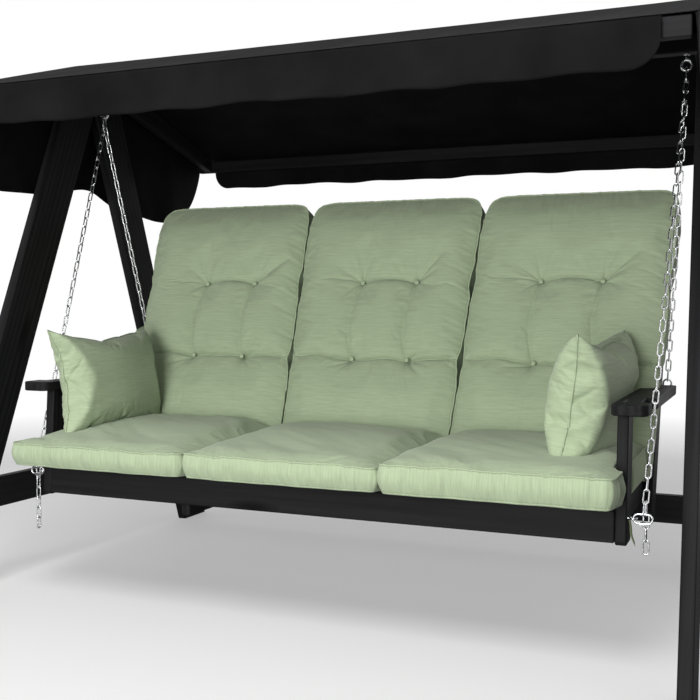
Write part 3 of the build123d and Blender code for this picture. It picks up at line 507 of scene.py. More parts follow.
class Cover:
    """A boxed cover: a face grid, closed bands round its edge and a plain underside to a middle point.

    grid is (rows, columns, 3), bands is (count, points round the rim, 3); the first boxed bands are the
    boxing, whose threads run from front to back, and the others are the underside.
    """

    def __init__(self, name, grid, bands, boxed, middle, place, material):
        rows, columns = grid.shape[:2]
        face_count = rows * columns
        rim = rim_of(rows, columns)
        self.seam = rim
        band_numbers = face_count + np.arange(bands.shape[0] * len(rim)).reshape(bands.shape[0], len(rim))
        loops = np.vstack([rim[None, :], band_numbers])
        self.back_seam = loops[boxed]
        local = np.vstack([grid.reshape(-1, 3), bands.reshape(-1, 3), middle[None, :]])
        face = grid_quads(rows, columns)
        band = band_quads(loops)
        last = loops[-1]
        pole = len(local) - 1
        fan = np.stack([last, np.full_like(last, pole), np.roll(last, -1)], -1)
        boxing = self.boxing_uv(local, loops[:boxed + 1])
        plain = band[boxed * len(rim):]
        uv = np.vstack([local[face.ravel(), :2], boxing, local[plain.ravel(), :2], local[fan.ravel(), :2]])
        faces = face.tolist() + band.tolist() + fan.tolist()
        self.piece = new_piece(name, place(local), faces, uv, material)
        self.local = local

    @staticmethod
    def boxing_uv(local, loops):
        """UV of the boxing: U from front to back, V round the rim."""
        ring = local[loops[0]]
        around = running_length(np.vstack([ring, ring[:1]]))
        depth = running_length(local[loops[:, 0]])
        near, far = depth[:-1, None], depth[1:, None]
        here, ahead = around[None, :-1], around[None, 1:]
        shape = (len(loops) - 1, len(ring))
        return corner_uv([(near, here), (far, here), (far, ahead), (near, ahead)], shape)

    def pipe(self, name, loop, shift, material):
        """Piping along a loop of the cover's points, moved by a shift."""
        return tube(name, places_of(self.piece)[loop] + shift, PIPING, 8, material)


def finish_trim(piece):
    """Lets a trim ride on the bench."""
    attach(piece, "bench")


def finish_cover(piece, node):
    """Lets a filled cover ride on the bench in place of a solid, which is hidden."""
    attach(piece, "bench")
    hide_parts(node)


def rounded(u, v, power_low, power_high):
    """Draws a square's corners in along a superellipse, with its own power above and below the middle."""
    power = np.where(v > 0, power_high, power_low)
    reach = np.maximum(np.abs(u), np.abs(v))
    squeeze = reach / (np.abs(u) ** power + np.abs(v) ** power) ** (1 / power)
    return u * squeeze, v * squeeze


def clustered(count, spots, width, extra):
    """Places from -1 to 1 that lie closer together round each spot."""
    even = np.linspace(-1, 1, 4001)
    density = np.ones_like(even)
    for spot in spots:
        density += extra * np.exp(-((even - spot) / width) ** 2)
    total = np.cumsum(density)
    share = (total - total[0]) / (total[-1] - total[0])
    return np.interp(np.linspace(0, 1, count), share, even)


def square_grid(rows, columns):
    """Two arrays from -1 to 1: across the columns and up the rows."""
    return np.meshgrid(np.linspace(-1, 1, columns), np.linspace(-1, 1, rows))


def outward_of(loop):
    """Unit directions in the first two coordinates that point out of an anticlockwise loop."""
    ahead = np.roll(loop, -1, 0) - np.roll(loop, 1, 0)
    out = np.stack([ahead[:, 1], -ahead[:, 0], np.zeros(len(loop))], -1)
    return out / np.maximum(np.linalg.norm(out, axis=1, keepdims=True), 1e-9)


def closing_rings(loop, middle, shares):
    """Loops drawn in towards a middle point by each share."""
    return np.stack([middle + (loop - middle) * share for share in shares])


# Back cushions

def on_back(local):
    """Points of the reclined back from their distances across it, up it and out of it."""
    across = local[:, :1] * np.array([[1.0, 0, 0]])
    return BACK_ORIGIN + across + local[:, 1:2] * BACK_UP + local[:, 2:3] * BACK_OUT


def fold_line(distance, depth, width, slit):
    """A fold: a trough that flattens to both sides, with a narrow slit along its middle."""
    return depth * np.exp(-np.abs(distance) / width) + slit * np.exp(-np.abs(distance) / SLIT_WIDTH)


def tuft_marks(x, up, tufts, rng):
    """How far the sewn tufts draw the cover in: a dip at each, and wrinkles that run out from it.

    A wrinkle is a narrow trough along a ray that bends aside by a share of its length; it starts at
    the tuft, is deepest close to it and fades to its end.
    """
    drawn = np.zeros_like(x)
    for (place_x, place_up), rays in zip(tufts, TUFT_RAYS):
        away = np.hypot(x - place_x, up - place_up)
        drawn += TUFT_DEPTH * (0.55 * np.exp(-away / DIP_CORE) + 0.45 * np.exp(-(away / DIP_BOWL) ** 2))
        for degrees, length, depth, curl in rays:
            angle = radians(degrees + rng.uniform(-9, 9))
            length = length * rng.uniform(0.8, 1.15)
            along = (x - place_x) * cos(angle) + (up - place_up) * sin(angle)
            across = (up - place_up) * cos(angle) - (x - place_x) * sin(angle)
            share = np.clip(along / length, 0, 1)
            across = across - curl * length * share ** 2
            strength = WRINKLE_GAIN * depth * rng.uniform(0.8, 1.15)
            strength = strength * np.clip(along / 0.01, 0, 1) * (1 - share) ** 0.8
            width = WRINKLE_WIDTH + WRINKLE_SPREAD * np.clip(along, 0, None)
            drawn += strength * np.exp(-np.abs(across) / width)
    return drawn


def fold_marks(x, up, middle, rng):
    """Folds of a tufted cushion: one across it through the lower tufts, an arched one between the
    upper tufts, and two bowed ones that join the rows."""
    low, high = TUFT_ROWS
    beside = x - middle
    wander = 0.003 * soft_waves(x, rng, 3, 0.5, 0.12)
    above = up - low - wander - 0.004 * np.clip(np.abs(beside) / TUFT_HALF - 1, 0, 2)
    drawn = fold_line(above, 0.013, np.where(above > 0, 0.020, 0.034), 0.012)
    between = blend_in(TUFT_HALF + 0.012 - np.abs(beside), 0, 0.02)
    arch = up - high - 0.010 * np.cos(pi * beside / (2 * TUFT_HALF))
    drawn += between * fold_line(arch, 0.009, np.where(arch > 0, 0.022, 0.014), 0.012)
    share = np.clip((up - low) / (high - low), 0, 1)
    held = blend_in(up, low - 0.01, low + 0.02) * blend_in(high + 0.01 - up, 0, 0.02)
    for side in (-1, 1):
        bow = -0.021 * np.sin(pi * share ** 0.8)
        drawn += held * fold_line(beside - side * TUFT_HALF - bow, 0.007, 0.016, 0.0065)
    return drawn


def mirrored(seam):
    """The same seam on the swing's other side."""
    return tuple(-place for place in seam)


def seam_at(seam, up):
    """Where a side seam stands at a height up the back: on a straight line through its two places."""
    return seam[0] + (seam[1] - seam[0]) * (up / SEAM_HEIGHT)


def back_outline(left, right, rng):
    """Places across and up a back cushion, and their distances to its side, top and bottom.

    A square with rounded top corners is fitted between the side seams. The sides draw in beside the
    tufts, more on the right, which is nearer to them, leave a gap to the next cushion and ripple.
    """
    height = BACK_TOP - BACK_LOW
    low_row, high_row = TUFT_ROWS
    row_spots = [2 * (row - BACK_LOW) / height - 1 for row in TUFT_ROWS]
    u, v = np.meshgrid(clustered(150, (-0.27, 0.38), 0.16, 0.8), clustered(210, row_spots, 0.05, 2.5))
    u, v = rounded(u, v, SQUARE_CORNER, BACK_CORNER)
    up = BACK_LOW + (v + 1) / 2 * height
    from_x = seam_at(left, up)
    to_x = seam_at(right, up)
    half = (to_x - from_x) / 2
    drawn_in = np.exp(-((up - low_row) / 0.035) ** 2) + 0.9 * np.exp(-((up - high_row) / 0.04) ** 2)
    notch = np.where(u > 0, RIGHT_NOTCH, LEFT_NOTCH) * drawn_in * np.abs(u) ** 10
    ripple = 0.0012 * soft_waves(up, rng, 4, 0.35, 0.06) * np.abs(u) ** 6
    x = (from_x + to_x) / 2 + u * half - np.sign(u) * (notch + SIDE_GAP * np.abs(u) ** 6) + ripple
    return x, up, (1 - np.abs(u)) * half, (1 - v) / 2 * height, (1 + v) / 2 * height


def back_face(left, right, middle, rng):
    """A back cushion's face as a grid, and how deep the tufts, wrinkles and folds crease it.

    The face stands out from its seam by a crown that rises quickly from the edge, and goes back
    towards the top; the creases are taken off it and small puckers along the seam are added.
    """
    x, up, to_side, to_top, to_bottom = back_outline(left, right, rng)
    swell = (1 - np.exp(-to_side / 0.034)) * (1 - np.exp(-to_top / 0.05)) * (1 - np.exp(-to_bottom / 0.09))
    set_back = TOP_SET_BACK * blend_in(up, TOP_SET_FROM, TOP_SET_TO)
    tufts = [(middle + side * TUFT_HALF, row) for row in TUFT_ROWS for side in (-1, 1)]
    edge = np.clip(to_side / 0.03, 0, 1) * np.clip(to_top / 0.04, 0, 1)
    creases = tuft_marks(x, up, tufts, rng)
    creases = creases + fold_marks(x, up, middle, rng) * edge
    pucker = 0.0012 * soft_waves(up + 0.4 * x, rng, 5, 0.09, 0.02) * np.exp(-to_side / 0.03)
    pucker += 0.0012 * soft_waves(x, rng, 5, 0.09, 0.02) * np.exp(-to_top / 0.035)
    out = -BACK_SEAM - set_back + BACK_CROWN * swell - creases + pucker
    return np.stack([x, up, out], -1), creases


def back_cushion(name, left, right, seed, material):
    """A tall tufted cushion: a crowned face, boxing that bulges a little, and a flat rear.

    Returns the middle between its tufts.
    """
    rng = np.random.default_rng(seed)
    middle = (seam_at(left, TUFT_ROWS[0]) + seam_at(right, TUFT_ROWS[0])) / 2 + TUFT_SHIFT
    grid, creases = back_face(left, right, middle, rng)
    rim = grid.reshape(-1, 3)[rim_of(*creases.shape)]
    share_back = np.linspace(0, 1, 7)[1:, None, None]
    rear_rim = rim * np.array([1, 1, 0]) + np.array([0, 0, BACK_REAR])
    boxing = rim + (rear_rim - rim) * share_back
    boxing = boxing + 0.0016 * np.sin(pi * share_back) * outward_of(rim)
    centre = rear_rim.mean(0)
    bands = np.vstack([boxing, closing_rings(rear_rim, centre, RING_SHARES)])
    cover = Cover(f"{name}_cover", grid, bands, len(boxing), centre, on_back, material)
    creased = np.flatnonzero(creases.ravel() > CREASE_DEPTH)
    fixed = np.arange(creases.size, len(cover.local))
    settle(cover.piece, [cover.seam, creased, fixed], 1.8, 0.010, 12, 10, 0.010)
    finish_cover(cover.piece, name)
    finish_trim(cover.pipe(f"{name}_piping", cover.seam, 0.0012 * BACK_OUT, material))
    return middle


def tuft_buttons(middles, material):
    """Covered buttons: a dome, one height for each ring, on a short skirt, sunk in every tuft."""
    rings, sides = 6, 20
    slope = np.linspace(0, pi / 2, rings)[:, None]
    angle = np.linspace(0, 2 * pi, sides, endpoint=False)
    radius = BUTTON_RADIUS * np.cos(slope)
    lift = BUTTON_HEIGHT * np.sin(slope) + 0 * angle
    dome = np.stack([radius * np.cos(angle), radius * np.sin(angle), lift], -1)
    skirt = dome[:1] * np.array([0.9, 0.9, 0]) - np.array([0, 0, 0.004])
    profile = np.vstack([skirt, dome]).reshape(-1, 3)
    quads = ring_quads(np.arange(len(profile)).reshape(-1, sides))
    places = np.array([(middle + side * TUFT_HALF, row, -BUTTON_HEIGHT)
                       for middle in middles for row in TUFT_ROWS for side in (-1, 1)])
    points = (places[:, None] + profile).reshape(-1, 3)
    faces = (quads + (np.arange(len(places)) * len(profile))[:, None, None]).reshape(-1, 4)
    uv = points[faces.ravel(), :2]
    buttons = new_piece("tuft_buttons_covered", on_back(points), faces.tolist(), uv, material)
    finish_trim(buttons)
    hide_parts("tuft_buttons")


# Seat cushions

def as_is(local):
    """Points that are already in the part's frame."""
    return local


def beside_post(points):
    """Presses a cushion's side in where it stands beside an arm post."""
    near = blend_in(points[:, 1], POST_FRONT - POST_EASE, POST_FRONT)
    near = near * blend_in(-points[:, 1], -POST_REAR - POST_EASE, -POST_REAR)
    reach = SEAT_REACH - (SEAT_REACH - POST_INNER) * near
    return np.stack([np.clip(points[:, 0], -reach, reach), points[:, 1], points[:, 2]], -1)


def seat_face(low, high, front, rear, base, shape, rng):
    """A seat cushion's top as a grid: a square with rounded front corners that rises from its seam
    quickly, then gently to the middle and towards the back. The seam itself waves and droops a little."""
    droop, crown, rise, boxing_height = shape
    u, v = square_grid(140, 144)
    u, v = rounded(u, v, SEAT_CORNER, SQUARE_CORNER)
    half = (high.x - low.x) / 2 - 0.0015
    x = (low.x + high.x) / 2 + u * half
    y = (front + rear) / 2 + v * (rear - front) / 2
    to_side = (1 - np.abs(u)) * half
    to_front = (1 + v) / 2 * (rear - front)
    to_rear = (1 - v) / 2 * (rear - front)
    y = y - 0.003 * soft_waves(x, rng, 3, 0.5, 0.12) * np.exp(-to_front / 0.05)
    swell = (1 - np.exp(-to_side / 0.03)) * (1 - np.exp(-to_front / 0.024)) * (1 - np.exp(-to_rear / 0.015))
    towards_back = blend_in(v, -0.95, 0.35) * (1 - np.abs(u) ** 6)
    seam = base + boxing_height + 0.0016 * soft_waves(x + y, rng, 3, 0.7, 0.15)
    seam = seam - droop * blend_in(u, 0.45, 1.0) * blend_in(-v, 0.2, 1.0)
    pucker = 0.0011 * soft_waves(x, rng, 5, 0.08, 0.018) * np.exp(-to_front / 0.03)
    z = seam + crown * swell + rise * towards_back + pucker
    z += 0.0012 * soft_waves(0.8 * x + y, rng, 4, 0.5, 0.1) * swell
    return np.stack([x, y, z], -1)


def seat_boxing(rim, front, rear, base, boxing_height, rng):
    """The upright band from a seat's seam to its foot, bulged out and dented, and the foot's loop.

    The foot is drawn in and lifted where it overhangs at the front, and the rear slopes with the back.
    """
    share_down = np.linspace(0, 1, 8)[1:, None, None]
    overhang = blend_in(-rim[:, 1], -front - OVERHANG, -front)
    foot = rim * np.array([1, 1, 0]) + np.array([0, 0, base])
    foot[:, 2] += FOOT_LIFT * overhang
    foot -= FOOT_INSET * overhang[:, None] * outward_of(rim)
    slope_back = blend_in(rim[:, 1], rear - 0.06, rear)
    foot[:, 1] -= slope_back * boxing_height * tan(RECLINE)
    dents = 0.0022 * soft_waves(rim[:, 0] + rim[:, 1], rng, 5, 0.2, 0.022)[None, :, None]
    bulge = (SEAT_BULGE + dents) * np.sin(pi * share_down)
    boxing = rim + (foot - rim) * share_down
    return boxing + bulge * outward_of(rim) * (1 - slope_back)[None, :, None], foot


def seat_cushion(name, seed, material, shape):
    """A boxed seat cushion: a crowned top, upright boxing, a flat base and piping along both seams."""
    rng = np.random.default_rng(seed)
    low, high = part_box(name)
    base = low.z + 0.0005
    front, rear = low.y + 0.002, high.y - 0.004
    grid = seat_face(low, high, front, rear, base, shape, rng)
    rows, columns = grid.shape[:2]
    rim = grid.reshape(-1, 3)[rim_of(rows, columns)]
    boxing, foot = seat_boxing(rim, front, rear, base, shape[3], rng)
    centre = foot.mean(0)
    bands = np.vstack([boxing, closing_rings(foot, centre, RING_SHARES)])
    cover = Cover(f"{name}_cover", grid, bands, len(boxing), centre, as_is, material)
    fixed = np.arange(rows * columns + (len(boxing) - 1) * len(rim), len(cover.local))
    settle(cover.piece, [cover.seam, fixed], 1.2, 0.008, 12, 12, 0.006)
    move_points(cover.piece, beside_post(places_of(cover.piece)))
    finish_cover(cover.piece, name)
    finish_trim(cover.pipe(f"{name}_top_piping", cover.seam, np.array([0, 0, 0.0008]), material))
    finish_trim(cover.pipe(f"{name}_base_piping", cover.back_seam, np.array([0, 0, 0.0032]), material))


# Scatter cushions

def sewn_faces(name, tall, material):
    """Two faces that share their edge, with the numbers of the edge's and the inner points.

    The faces start nearly flat, to be blown up, each swelling as the root of its distances to the edges.
    """
    u, v = square_grid(*PILLOW_GRID)
    along, up, depth = u * PILLOW_LENGTH / 2, v * tall / 2, 0.02
    swell = depth * ((1 - u ** 2) * (1 - v ** 2)) ** 0.5
    face = np.stack([along, up, swell], -1).reshape(-1, 3)
    rim = rim_of(*PILLOW_GRID)
    inside = np.setdiff1d(np.arange(len(face)), rim)
    behind = np.arange(len(face))
    behind[inside] = len(face) + np.arange(len(inside))
    points = np.vstack([face, face[inside] * np.array([1, 1, -1])])
    quads = grid_quads(*PILLOW_GRID)
    faces = np.vstack([quads, behind[quads][:, ::-1]])
    uv = np.vstack([face[quads.ravel(), :2], face[quads[:, ::-1].ravel(), :2]])
    return new_piece(name, points, faces.tolist(), uv, material), rim, inside


def filled_out(local, tall, outer, inner):
    """Scales a cushion to its size, blunts its ends, and gives each face its own fullness."""
    size = local.max(0) - local.min(0)
    local = local * np.array([PILLOW_LENGTH / size[0], tall / size[1], 1])
    end = np.abs(2 * local[:, 0] / PILLOW_LENGTH)
    local[:, 2] *= np.maximum(1.02 - end ** 4, 0.02) ** -BLUNT
    local[:, 2] *= np.where(local[:, 2] > 0, inner, outer) / np.abs(local[:, 2]).max()
    return local


def stood_up(local, side, base, lean, turn, tall):
    """Stands a cushion on its long edge at a base point, leans it sideways, and turns it."""
    stand = local[:, 1] + tall / 2
    across = local[:, 2] * side
    aside = across * cos(lean) + stand * sin(lean)
    return np.stack([base[0] + aside * cos(turn) - local[:, 0] * sin(turn),
                     base[1] + aside * sin(turn) + local[:, 0] * cos(turn),
                     base[2] - across * sin(lean) + stand * cos(lean)], -1)


def let_down(points, seat, tall):
    """Lowers each slice of a cushion until its lowest point is on the seat, and less with height."""
    slices = np.linspace(points[:, 1].min(), points[:, 1].max(), SLICES + 1)
    slice_of = np.clip(np.searchsorted(slices, points[:, 1]) - 1, 0, SLICES - 1)
    lowest = np.full(SLICES, points[:, 2].max())
    np.minimum.at(lowest, slice_of, points[:, 2])
    floor = np.interp(points[:, 1], (slices[1:] + slices[:-1]) / 2, lowest)
    height = np.clip((points[:, 2] - floor) / (LET_DOWN_SHARE * tall), 0, 1)
    lowered = points[:, 2] - (floor - seat) * (1 - height) ** 2
    return np.column_stack([points[:, :2], np.maximum(lowered, seat)])


def pressed(points):
    """Presses a cushion softly against the armrest, lets it bulge over the arm, and pushes what is
    left behind the back cushion's face out to it."""
    reach = ARM_INNER - 0.002 + ARM_BULGE * blend_in(points[:, 2], ARM_UNDER, ARM_OVER)
    over = (reach - np.abs(points[:, 0])) / PRESS
    aside = np.sign(points[:, 0]) * (reach - PRESS * np.logaddexp(0, over))
    points = np.column_stack([aside, points[:, 1:]])
    from_face = (points - BACK_ORIGIN) @ BACK_OUT
    return points + np.maximum(PILLOW_CLEAR - from_face, 0)[:, None] * BACK_OUT


def pillow(name, seed, material, base, lean, turn, tall, outer, inner):
    """A knife-edged cushion: two sewn faces blown up, puckered along the seam, stood on edge and leaned,
    let down to the seat and pressed against the arm, with piping round its edge."""
    rng = np.random.default_rng(seed)
    piece, rim, inside = sewn_faces(f"{name}_cover", tall, material)
    settle(piece, [], 4.5, 0.0, 6, 22, 0.12)
    local = filled_out(places_of(piece), tall, outer, inner)
    face_puckers = seam_puckers(tall, rng)
    back_puckers = seam_puckers(tall, rng)
    local[:, 2] += np.concatenate([face_puckers, -back_puckers[inside]])
    side = np.sign(-base[0])
    points = stood_up(local, side, base, lean, turn, tall)
    points = pressed(let_down(points, base[2], tall))
    move_points(piece, points)
    if side < 0:
        piece.data.flip_normals()
    refine(piece)
    finish_cover(piece, name)
    path = points[rim]
    outward = path - points.mean(0)
    outward /= np.linalg.norm(outward, axis=1, keepdims=True)
    finish_trim(tube(f"{name}_piping", path + 0.0015 * outward, PIPING, 8, material))


def seam_puckers(tall, rng):
    """Small waves along a scatter cushion's seam that fade towards the middle of the face."""
    u, v = square_grid(*PILLOW_GRID)
    from_end = (1 - np.abs(u)) * PILLOW_LENGTH / 2
    from_edge = (1 - np.abs(v)) * tall / 2
    ends = soft_waves(v * tall / 2, rng, 4, 0.07, 0.024)
    ends = ends * np.exp(-from_end / 0.045) * np.sqrt(from_end / 0.02)
    edges = soft_waves(u * PILLOW_LENGTH / 2, rng, 4, 0.10, 0.03)
    edges = edges * np.exp(-from_edge / 0.032) * np.sqrt(from_edge / 0.02)
    return (0.0026 * ends + 0.0018 * edges).ravel()


# Canopy cloth

def cloth_sheet(name, node, points, material):
    """A sheet of cloth from a grid of points, with the cloth's thickness, that rides on the stand in place
    of its solid, which is hidden.
    """
    rows, columns = points.shape[:2]
    piece = new_piece(name, points, grid_quads(rows, columns).tolist(), None, material)
    thickness = piece.modifiers.new("cloth", "SOLIDIFY")
    thickness.thickness = CANOPY_THICK
    thickness.offset = 0
    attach(piece, "stand")
    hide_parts(node)
    return piece


def roof_line(y, ridge, eave, reach):
    """Height of the roof at y: a straight slope from the ridge to the eave on each side."""
    return ridge - (ridge - eave) * np.abs(y) / reach


def canopy_roof(material):
    """The roof: straight slopes from ridge to eaves that hang in between, most at mid length."""
    low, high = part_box("canopy_roof")
    reach, half = high.y, high.x
    ridge, eave = high.z - 0.001, low.z + 0.003
    x, y = np.meshgrid(np.linspace(-half, half, 120), np.linspace(-reach, reach, 96))
    share = np.abs(y) / reach
    sag = 0.001 + ROOF_SAG * (1 - (x / half) ** 2)
    rng = np.random.default_rng(5)
    ripple = 0.0016 * soft_waves(x + 0.3 * np.abs(y), rng, 4, 0.7, 0.16) * np.sin(pi * share)
    z = roof_line(y, ridge, eave, reach) - sag * 4 * share * (1 - share) + ripple
    z = z - 0.006 * np.exp(-np.abs(y) / 0.012)
    cloth_sheet("canopy_roof_cloth", "canopy_roof", np.stack([x, y, z], -1), material)


def side_valance(side, material):
    """A gable cloth: from under the roof's edge down to a hem with two deep flaps and a shallow middle.

    The hem is an eased line, and a quarter of an ellipse rounds each flap's end up to the eave.
    """
    name = "right" if side > 0 else "left"
    low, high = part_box(f"canopy_valance_{name}")
    reach, ridge = high.y, high.z
    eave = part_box("canopy_roof")[0].z
    flap = reach - FLAP_ROUND
    rear, front, middle = low.z, low.z + 0.030, low.z + 0.078
    y = reach * np.sin(np.linspace(-pi / 2, pi / 2, 190))
    places = [-flap, -FLAP_INNER, 0, FLAP_INNER, flap]
    hem = eased_line(y, places, [front, front + 0.009, middle, rear + 0.018, rear])
    past = np.clip((np.abs(y) - flap) / (reach - flap), 0, 1)
    end = np.where(y > 0, rear, front)
    rounded_end = end + (eave - end) * (1 - np.sqrt(np.maximum(1 - past ** 2, 0)))
    top = roof_line(y, ridge, eave, reach)
    hem = np.minimum(np.where(past > 0, rounded_end, hem), top - 0.001)
    down = np.linspace(0, 1, 44)[:, None]
    z = top + (hem - top) * down
    fold = np.sin(pi * 10 * (y + reach) / (2 * reach)) * 0.0035
    rng = np.random.default_rng(8 + side)
    loose = 0.006 * soft_waves(y[None, :] + 0.25 * z, rng, 4, 0.6, 0.17) * down ** 1.5
    x = side * (abs(high.x + low.x) / 2) + fold * (0.25 + 0.75 * down) + loose * 0.6
    points = np.stack([x, np.broadcast_to(y, z.shape), z], -1)
    if side < 0:
        points = points[:, ::-1]
    cloth_sheet(f"canopy_valance_{name}_cloth", f"canopy_valance_{name}", points, material)


def end_valance(front, material):
    """The strip under an eave: hung from its top edge, folds growing downwards, lower corners rounded."""
    name = "front" if front else "rear"
    low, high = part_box(f"canopy_valance_{name}")
    half = high.x
    turn = np.linspace(-pi / 2, pi / 2, 260)
    x = half * (0.7 * np.sin(turn) + 0.3 * turn / (pi / 2))
    drop = high.z - low.z
    inside = np.clip(VALANCE_CORNER - (half - np.abs(x)), 0, VALANCE_CORNER)
    length = drop - VALANCE_CORNER + np.sqrt(np.maximum(VALANCE_CORNER ** 2 - inside ** 2, 0))
    rng = np.random.default_rng(21 if front else 22)
    length = length - 0.004 + 0.003 * soft_waves(x, rng, 3, 0.8, 0.2)
    length = np.minimum(length, drop)
    down = np.linspace(0, 1, 16)[:, None]
    z = high.z - length * down
    fold = 0.0035 * np.sin(pi * 14 * (x + half) / (2 * half))
    loose = 0.004 * soft_waves(x, rng, 4, 0.5, 0.13)
    y = (low.y + high.y) / 2 + (fold + loose) * (0.1 + 0.9 * down)
    points = np.stack([np.broadcast_to(x, z.shape), y, z], -1)
    if not front:
        points = points[:, ::-1]
    cloth_sheet(f"canopy_valance_{name}_cloth", f"canopy_valance_{name}", points, material)


# Cushion tie

def cushion_tie(material):
    """Two flat tape ends that hang from the screw eye: a width swept down a gently bent line."""
    low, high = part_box("cushion_tie")
    middle_x, middle_y = (low.x + high.x) / 2, (low.y + high.y) / 2
    rows, columns = 26, 5
    down = np.linspace(0, 1, rows)[:, None]
    across = np.linspace(-TAPE_HALF, TAPE_HALF, columns)[None, :]
    strips = []
    for shift, length, bend in ((-0.006, 0.058, 0.4), (0.006, 0.066, -0.3)):
        twist = bend * np.sin(pi * down * 0.9)
        x = middle_x + 0.012 * down + across * np.sin(twist) + 0.0015 * np.sin(2.4 * pi * down)
        y = middle_y + shift + across * np.cos(twist)
        z = high.z - length * down + 0 * across
        strips.append(np.stack([x, y, z], -1).reshape(-1, 3))
    points = np.vstack(strips)
    quads = np.vstack([grid_quads(rows, columns, first) for first in (0, rows * columns)])
    uv = points[quads.ravel()][:, [2, 1]]
    tie = new_piece("cushion_tie_tape", points, quads.tolist(), uv, material)
    thickness = tie.modifiers.new("tape", "SOLIDIFY")
    thickness.thickness = TAPE_THICK
    thickness.offset = 0
    finish_trim(tie)
    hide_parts("cushion_tie")


# Finishes of the solid pieces

GRAIN = {
    "across": (1, 0, 0),
    "depth": (0, 1, 0),
    "front_leg": (0, 0.367, 0.930),
    "rear_leg": (0, -0.367, 0.930),
    "post": (0, 0.07, 0.998),
    "stile": tuple(BACK_UP),
    "front_rafter": (0, 0.954, 0.300),
    "rear_rafter": (0, -0.954, 0.300),
}
BOARDS = {
    "across": ("rear_beam", "top_beam", "front_eave_rail", "rear_eave_rail", "front_rail", "rear_rail",
               "seat_slats", "back_slats"),
    "depth": ("side_bar", "side_rail", "bearer", "armrest"),
    "front_leg": ("front_leg",),
    "rear_leg": ("rear_leg",),
    "post": ("arm_post",),
    "stile": ("back_stile",),
    "front_rafter": ("front_rafter",),
    "rear_rafter": ("rear_rafter",),
}
ZINC = ("chain", "shackle", "quick_link", "eye_bolt", "screw_eyes")


def finish_solids():
    """Gives each solid its finish: timber by grain direction, bright zinc, or black fixings."""
    zinc = zinc_steel()
    fixings = black_fixings()
    timber = {key: black_timber(f"black_timber_{key}", grain) for key, grain in GRAIN.items()}
    for name, piece in nodes.items():
        if name in ("frame_bolts", "bench_screws"):
            chosen = fixings
        elif any(word in name for word in ZINC):
            chosen = zinc
        else:
            found = [key for key, starts in BOARDS.items() if name.startswith(starts)]
            chosen = timber[found[0]] if found else None
        if chosen:
            piece.data.materials.clear()
            piece.data.materials.append(chosen)


# Stage, light and camera

def floor_material():
    """A pale floor that turns into the white background away from the swing."""
    material, shader, add, join = node_material("studio_floor")
    place = add("ShaderNodeTexCoord")
    distance = add("ShaderNodeVectorMath", operation="LENGTH")
    join(place.outputs["Object"], distance.inputs[0])
    fade = add("ShaderNodeMapRange")
    fade.inputs["From Min"].default_value = FADE_FROM
    fade.inputs["From Max"].default_value = FADE_TO
    join(distance.outputs["Value"], fade.inputs["Value"])
    shader.inputs["Roughness"].default_value = 0.7
    shader.inputs["Specular IOR Level"].default_value = 0.2
    path = add("ShaderNodeLightPath")
    paint = add("ShaderNodeMix", data_type="RGBA")
    paint.inputs["A"].default_value = (*grey(FLOOR_LIT), 1)
    paint.inputs["B"].default_value = (*grey(FLOOR_SEEN), 1)
    join(path.outputs["Is Camera Ray"], paint.inputs["Factor"])
    join(paint.outputs["Result"], shader.inputs["Base Color"])
    lifted = add("ShaderNodeMath", operation="MULTIPLY")
    lifted.inputs[1].default_value = FLOOR_GLOW
    join(path.outputs["Is Camera Ray"], lifted.inputs[0])
    share = add("ShaderNodeMath", operation="MAXIMUM")
    join(lifted.outputs["Value"], share.inputs[0])
    join(fade.outputs["Result"], share.inputs[1])
    white = add("ShaderNodeEmission", Strength=1.0)
    mix = add("ShaderNodeMixShader")
    join(share.outputs["Value"], mix.inputs["Fac"])
    join(shader.outputs["BSDF"], mix.inputs[1])
    join(white.outputs["Emission"], mix.inputs[2])
    output = material.node_tree.nodes["Material Output"]
    join(mix.outputs["Shader"], output.inputs["Surface"])
    return material


def set_stage():
    """A flat square floor under the swing."""
    edge = np.linspace(-FLOOR_HALF, FLOOR_HALF, 3)
    x, y = np.meshgrid(edge, edge)
    points = np.stack([x, y, 0 * x], -1)
    floor = new_piece("studio_floor", points, grid_quads(3, 3).tolist(), None, floor_material())


def set_world(strength):
    """A white world: even light on the object, and plain white where it is seen or mirrored."""
    world = bpy.data.worlds.new("studio")
    bpy.context.scene.world = world
    world.use_nodes = True
    add, join = world.node_tree.nodes.new, world.node_tree.links.new
    light = world.node_tree.nodes["Background"]
    seen = add("ShaderNodeBackground")
    for background, level in ((light, strength), (seen, 1.0)):
        background.inputs["Strength"].default_value = level
        background.inputs["Color"].default_value = (1, 1, 1, 1)
    path = add("ShaderNodeLightPath")
    chosen = path.outputs["Is Camera Ray"]
    for ray in ("Is Glossy Ray", "Is Transmission Ray"):
        either = add("ShaderNodeMath")
        either.operation = "MAXIMUM"
        join(chosen, either.inputs[0])
        join(path.outputs[ray], either.inputs[1])
        chosen = either.outputs["Value"]
    mix = add("ShaderNodeMixShader")
    join(chosen, mix.inputs["Fac"])
    join(light.outputs["Background"], mix.inputs[1])
    join(seen.outputs["Background"], mix.inputs[2])
    join(mix.outputs["Shader"], world.node_tree.nodes["World Output"].inputs["Surface"])


def soft_lamp(name, place, target, size, power):
    """A square area lamp at a place, turned to a target."""
    data = bpy.data.lights.new(name, "AREA")
    data.shape = "SQUARE"
    data.size = size
    data.energy = power
    lamp = bpy.data.objects.new(name, data)
    lamp.location = place
    lamp.rotation_euler = (Vector(target) - Vector(place)).to_track_quat("-Z", "Y").to_euler()
    bpy.context.scene.collection.objects.link(lamp)


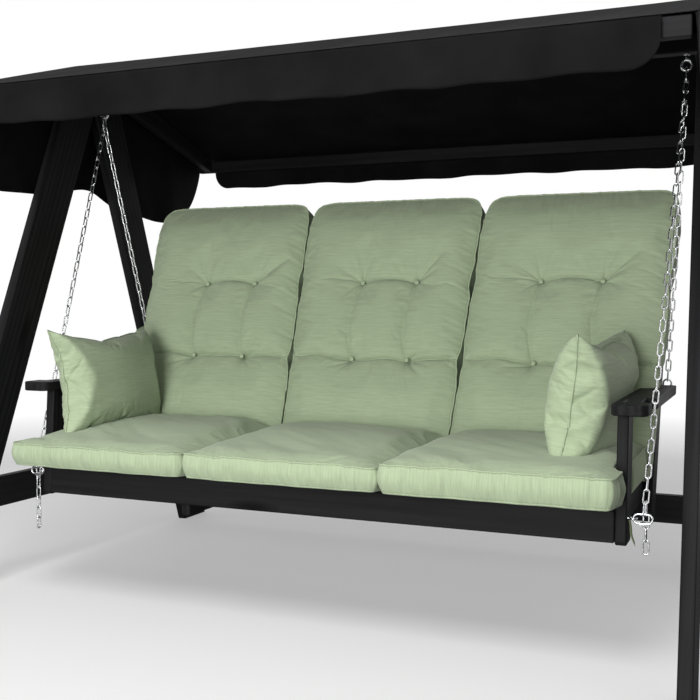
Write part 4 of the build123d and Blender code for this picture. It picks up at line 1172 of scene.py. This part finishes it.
def set_camera():
    """The photograph's camera: turned left by its yaw, down by its pitch, and rolled a little."""
    level = cos(CAMERA_PITCH)
    ahead = Vector((-sin(CAMERA_YAW) * level, cos(CAMERA_YAW) * level, -sin(CAMERA_PITCH)))
    right = Vector((cos(CAMERA_YAW), sin(CAMERA_YAW), 0))
    up = right.cross(ahead)
    rolled_right = cos(CAMERA_ROLL) * right + sin(CAMERA_ROLL) * up
    rolled_up = -sin(CAMERA_ROLL) * right + cos(CAMERA_ROLL) * up
    turn = Matrix((rolled_right, rolled_up, -ahead)).transposed().to_4x4()
    data = bpy.data.cameras.new("photo_camera")
    data.sensor_width = 36
    data.lens = CAMERA_LENS
    data.clip_end = 60
    camera = bpy.data.objects.new("photo_camera", data)
    camera.matrix_world = Matrix.Translation(CAMERA_PLACE) @ turn
    bpy.context.scene.collection.objects.link(camera)
    bpy.context.scene.camera = camera


def make_cushions():
    """All cushions, their buttons and the tie."""
    cover = slub_cloth("cushion_cover", COVER_GREEN)
    button = slub_cloth("button_cover", shade(COVER_GREEN, 1.08))
    tape = slub_cloth("tie_tape", TAPE_GREEN)
    seams = {
        "left": (mirrored(OUTER_SEAM), mirrored(INNER_SEAM)),
        "middle": (mirrored(INNER_SEAM), INNER_SEAM),
        "right": (INNER_SEAM, OUTER_SEAM),
    }
    middles = []
    for number, (place, (left, right)) in enumerate(seams.items()):
        middles.append(back_cushion(f"back_cushion_{place}", left, right, 40 + number, cover))
    tuft_buttons(middles, button)
    for number, (place, shape) in enumerate(SEATS.items()):
        seat_cushion(f"seat_cushion_{place}", 60 + number, cover, shape)
    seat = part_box("pillow_left")[0].z - PILLOW_SINK
    pillow("pillow_left", 81, cover, base=(-0.766, -0.228, seat), lean=radians(-11), turn=0,
           tall=0.325, outer=0.050, inner=0.085)
    pillow("pillow_right", 82, cover, base=(0.735, -0.195, seat - 0.006), lean=radians(8), turn=radians(-5),
           tall=0.335, outer=0.088, inner=0.086)
    cushion_tie(tape)


def make_canopy():
    """The roof and its four valances, of one cloth."""
    cloth = canopy_cloth()
    canopy_roof(cloth)
    for side in (-1, 1):
        side_valance(side, cloth)
    for front in (True, False):
        end_valance(front, cloth)


set_camera()
finish_solids()
make_cushions()
make_canopy()
set_stage()
set_world(WORLD_LIGHT)
soft_lamp("front", (0.2, -5.0, 1.05), (0, 0, 0.8), 2.0, 190)
soft_lamp("high", (0.2, -2.7, 3.9), (0, -0.3, 0.5), 1.6, 88)
bpy.context.scene.view_settings.view_transform = "Standard"
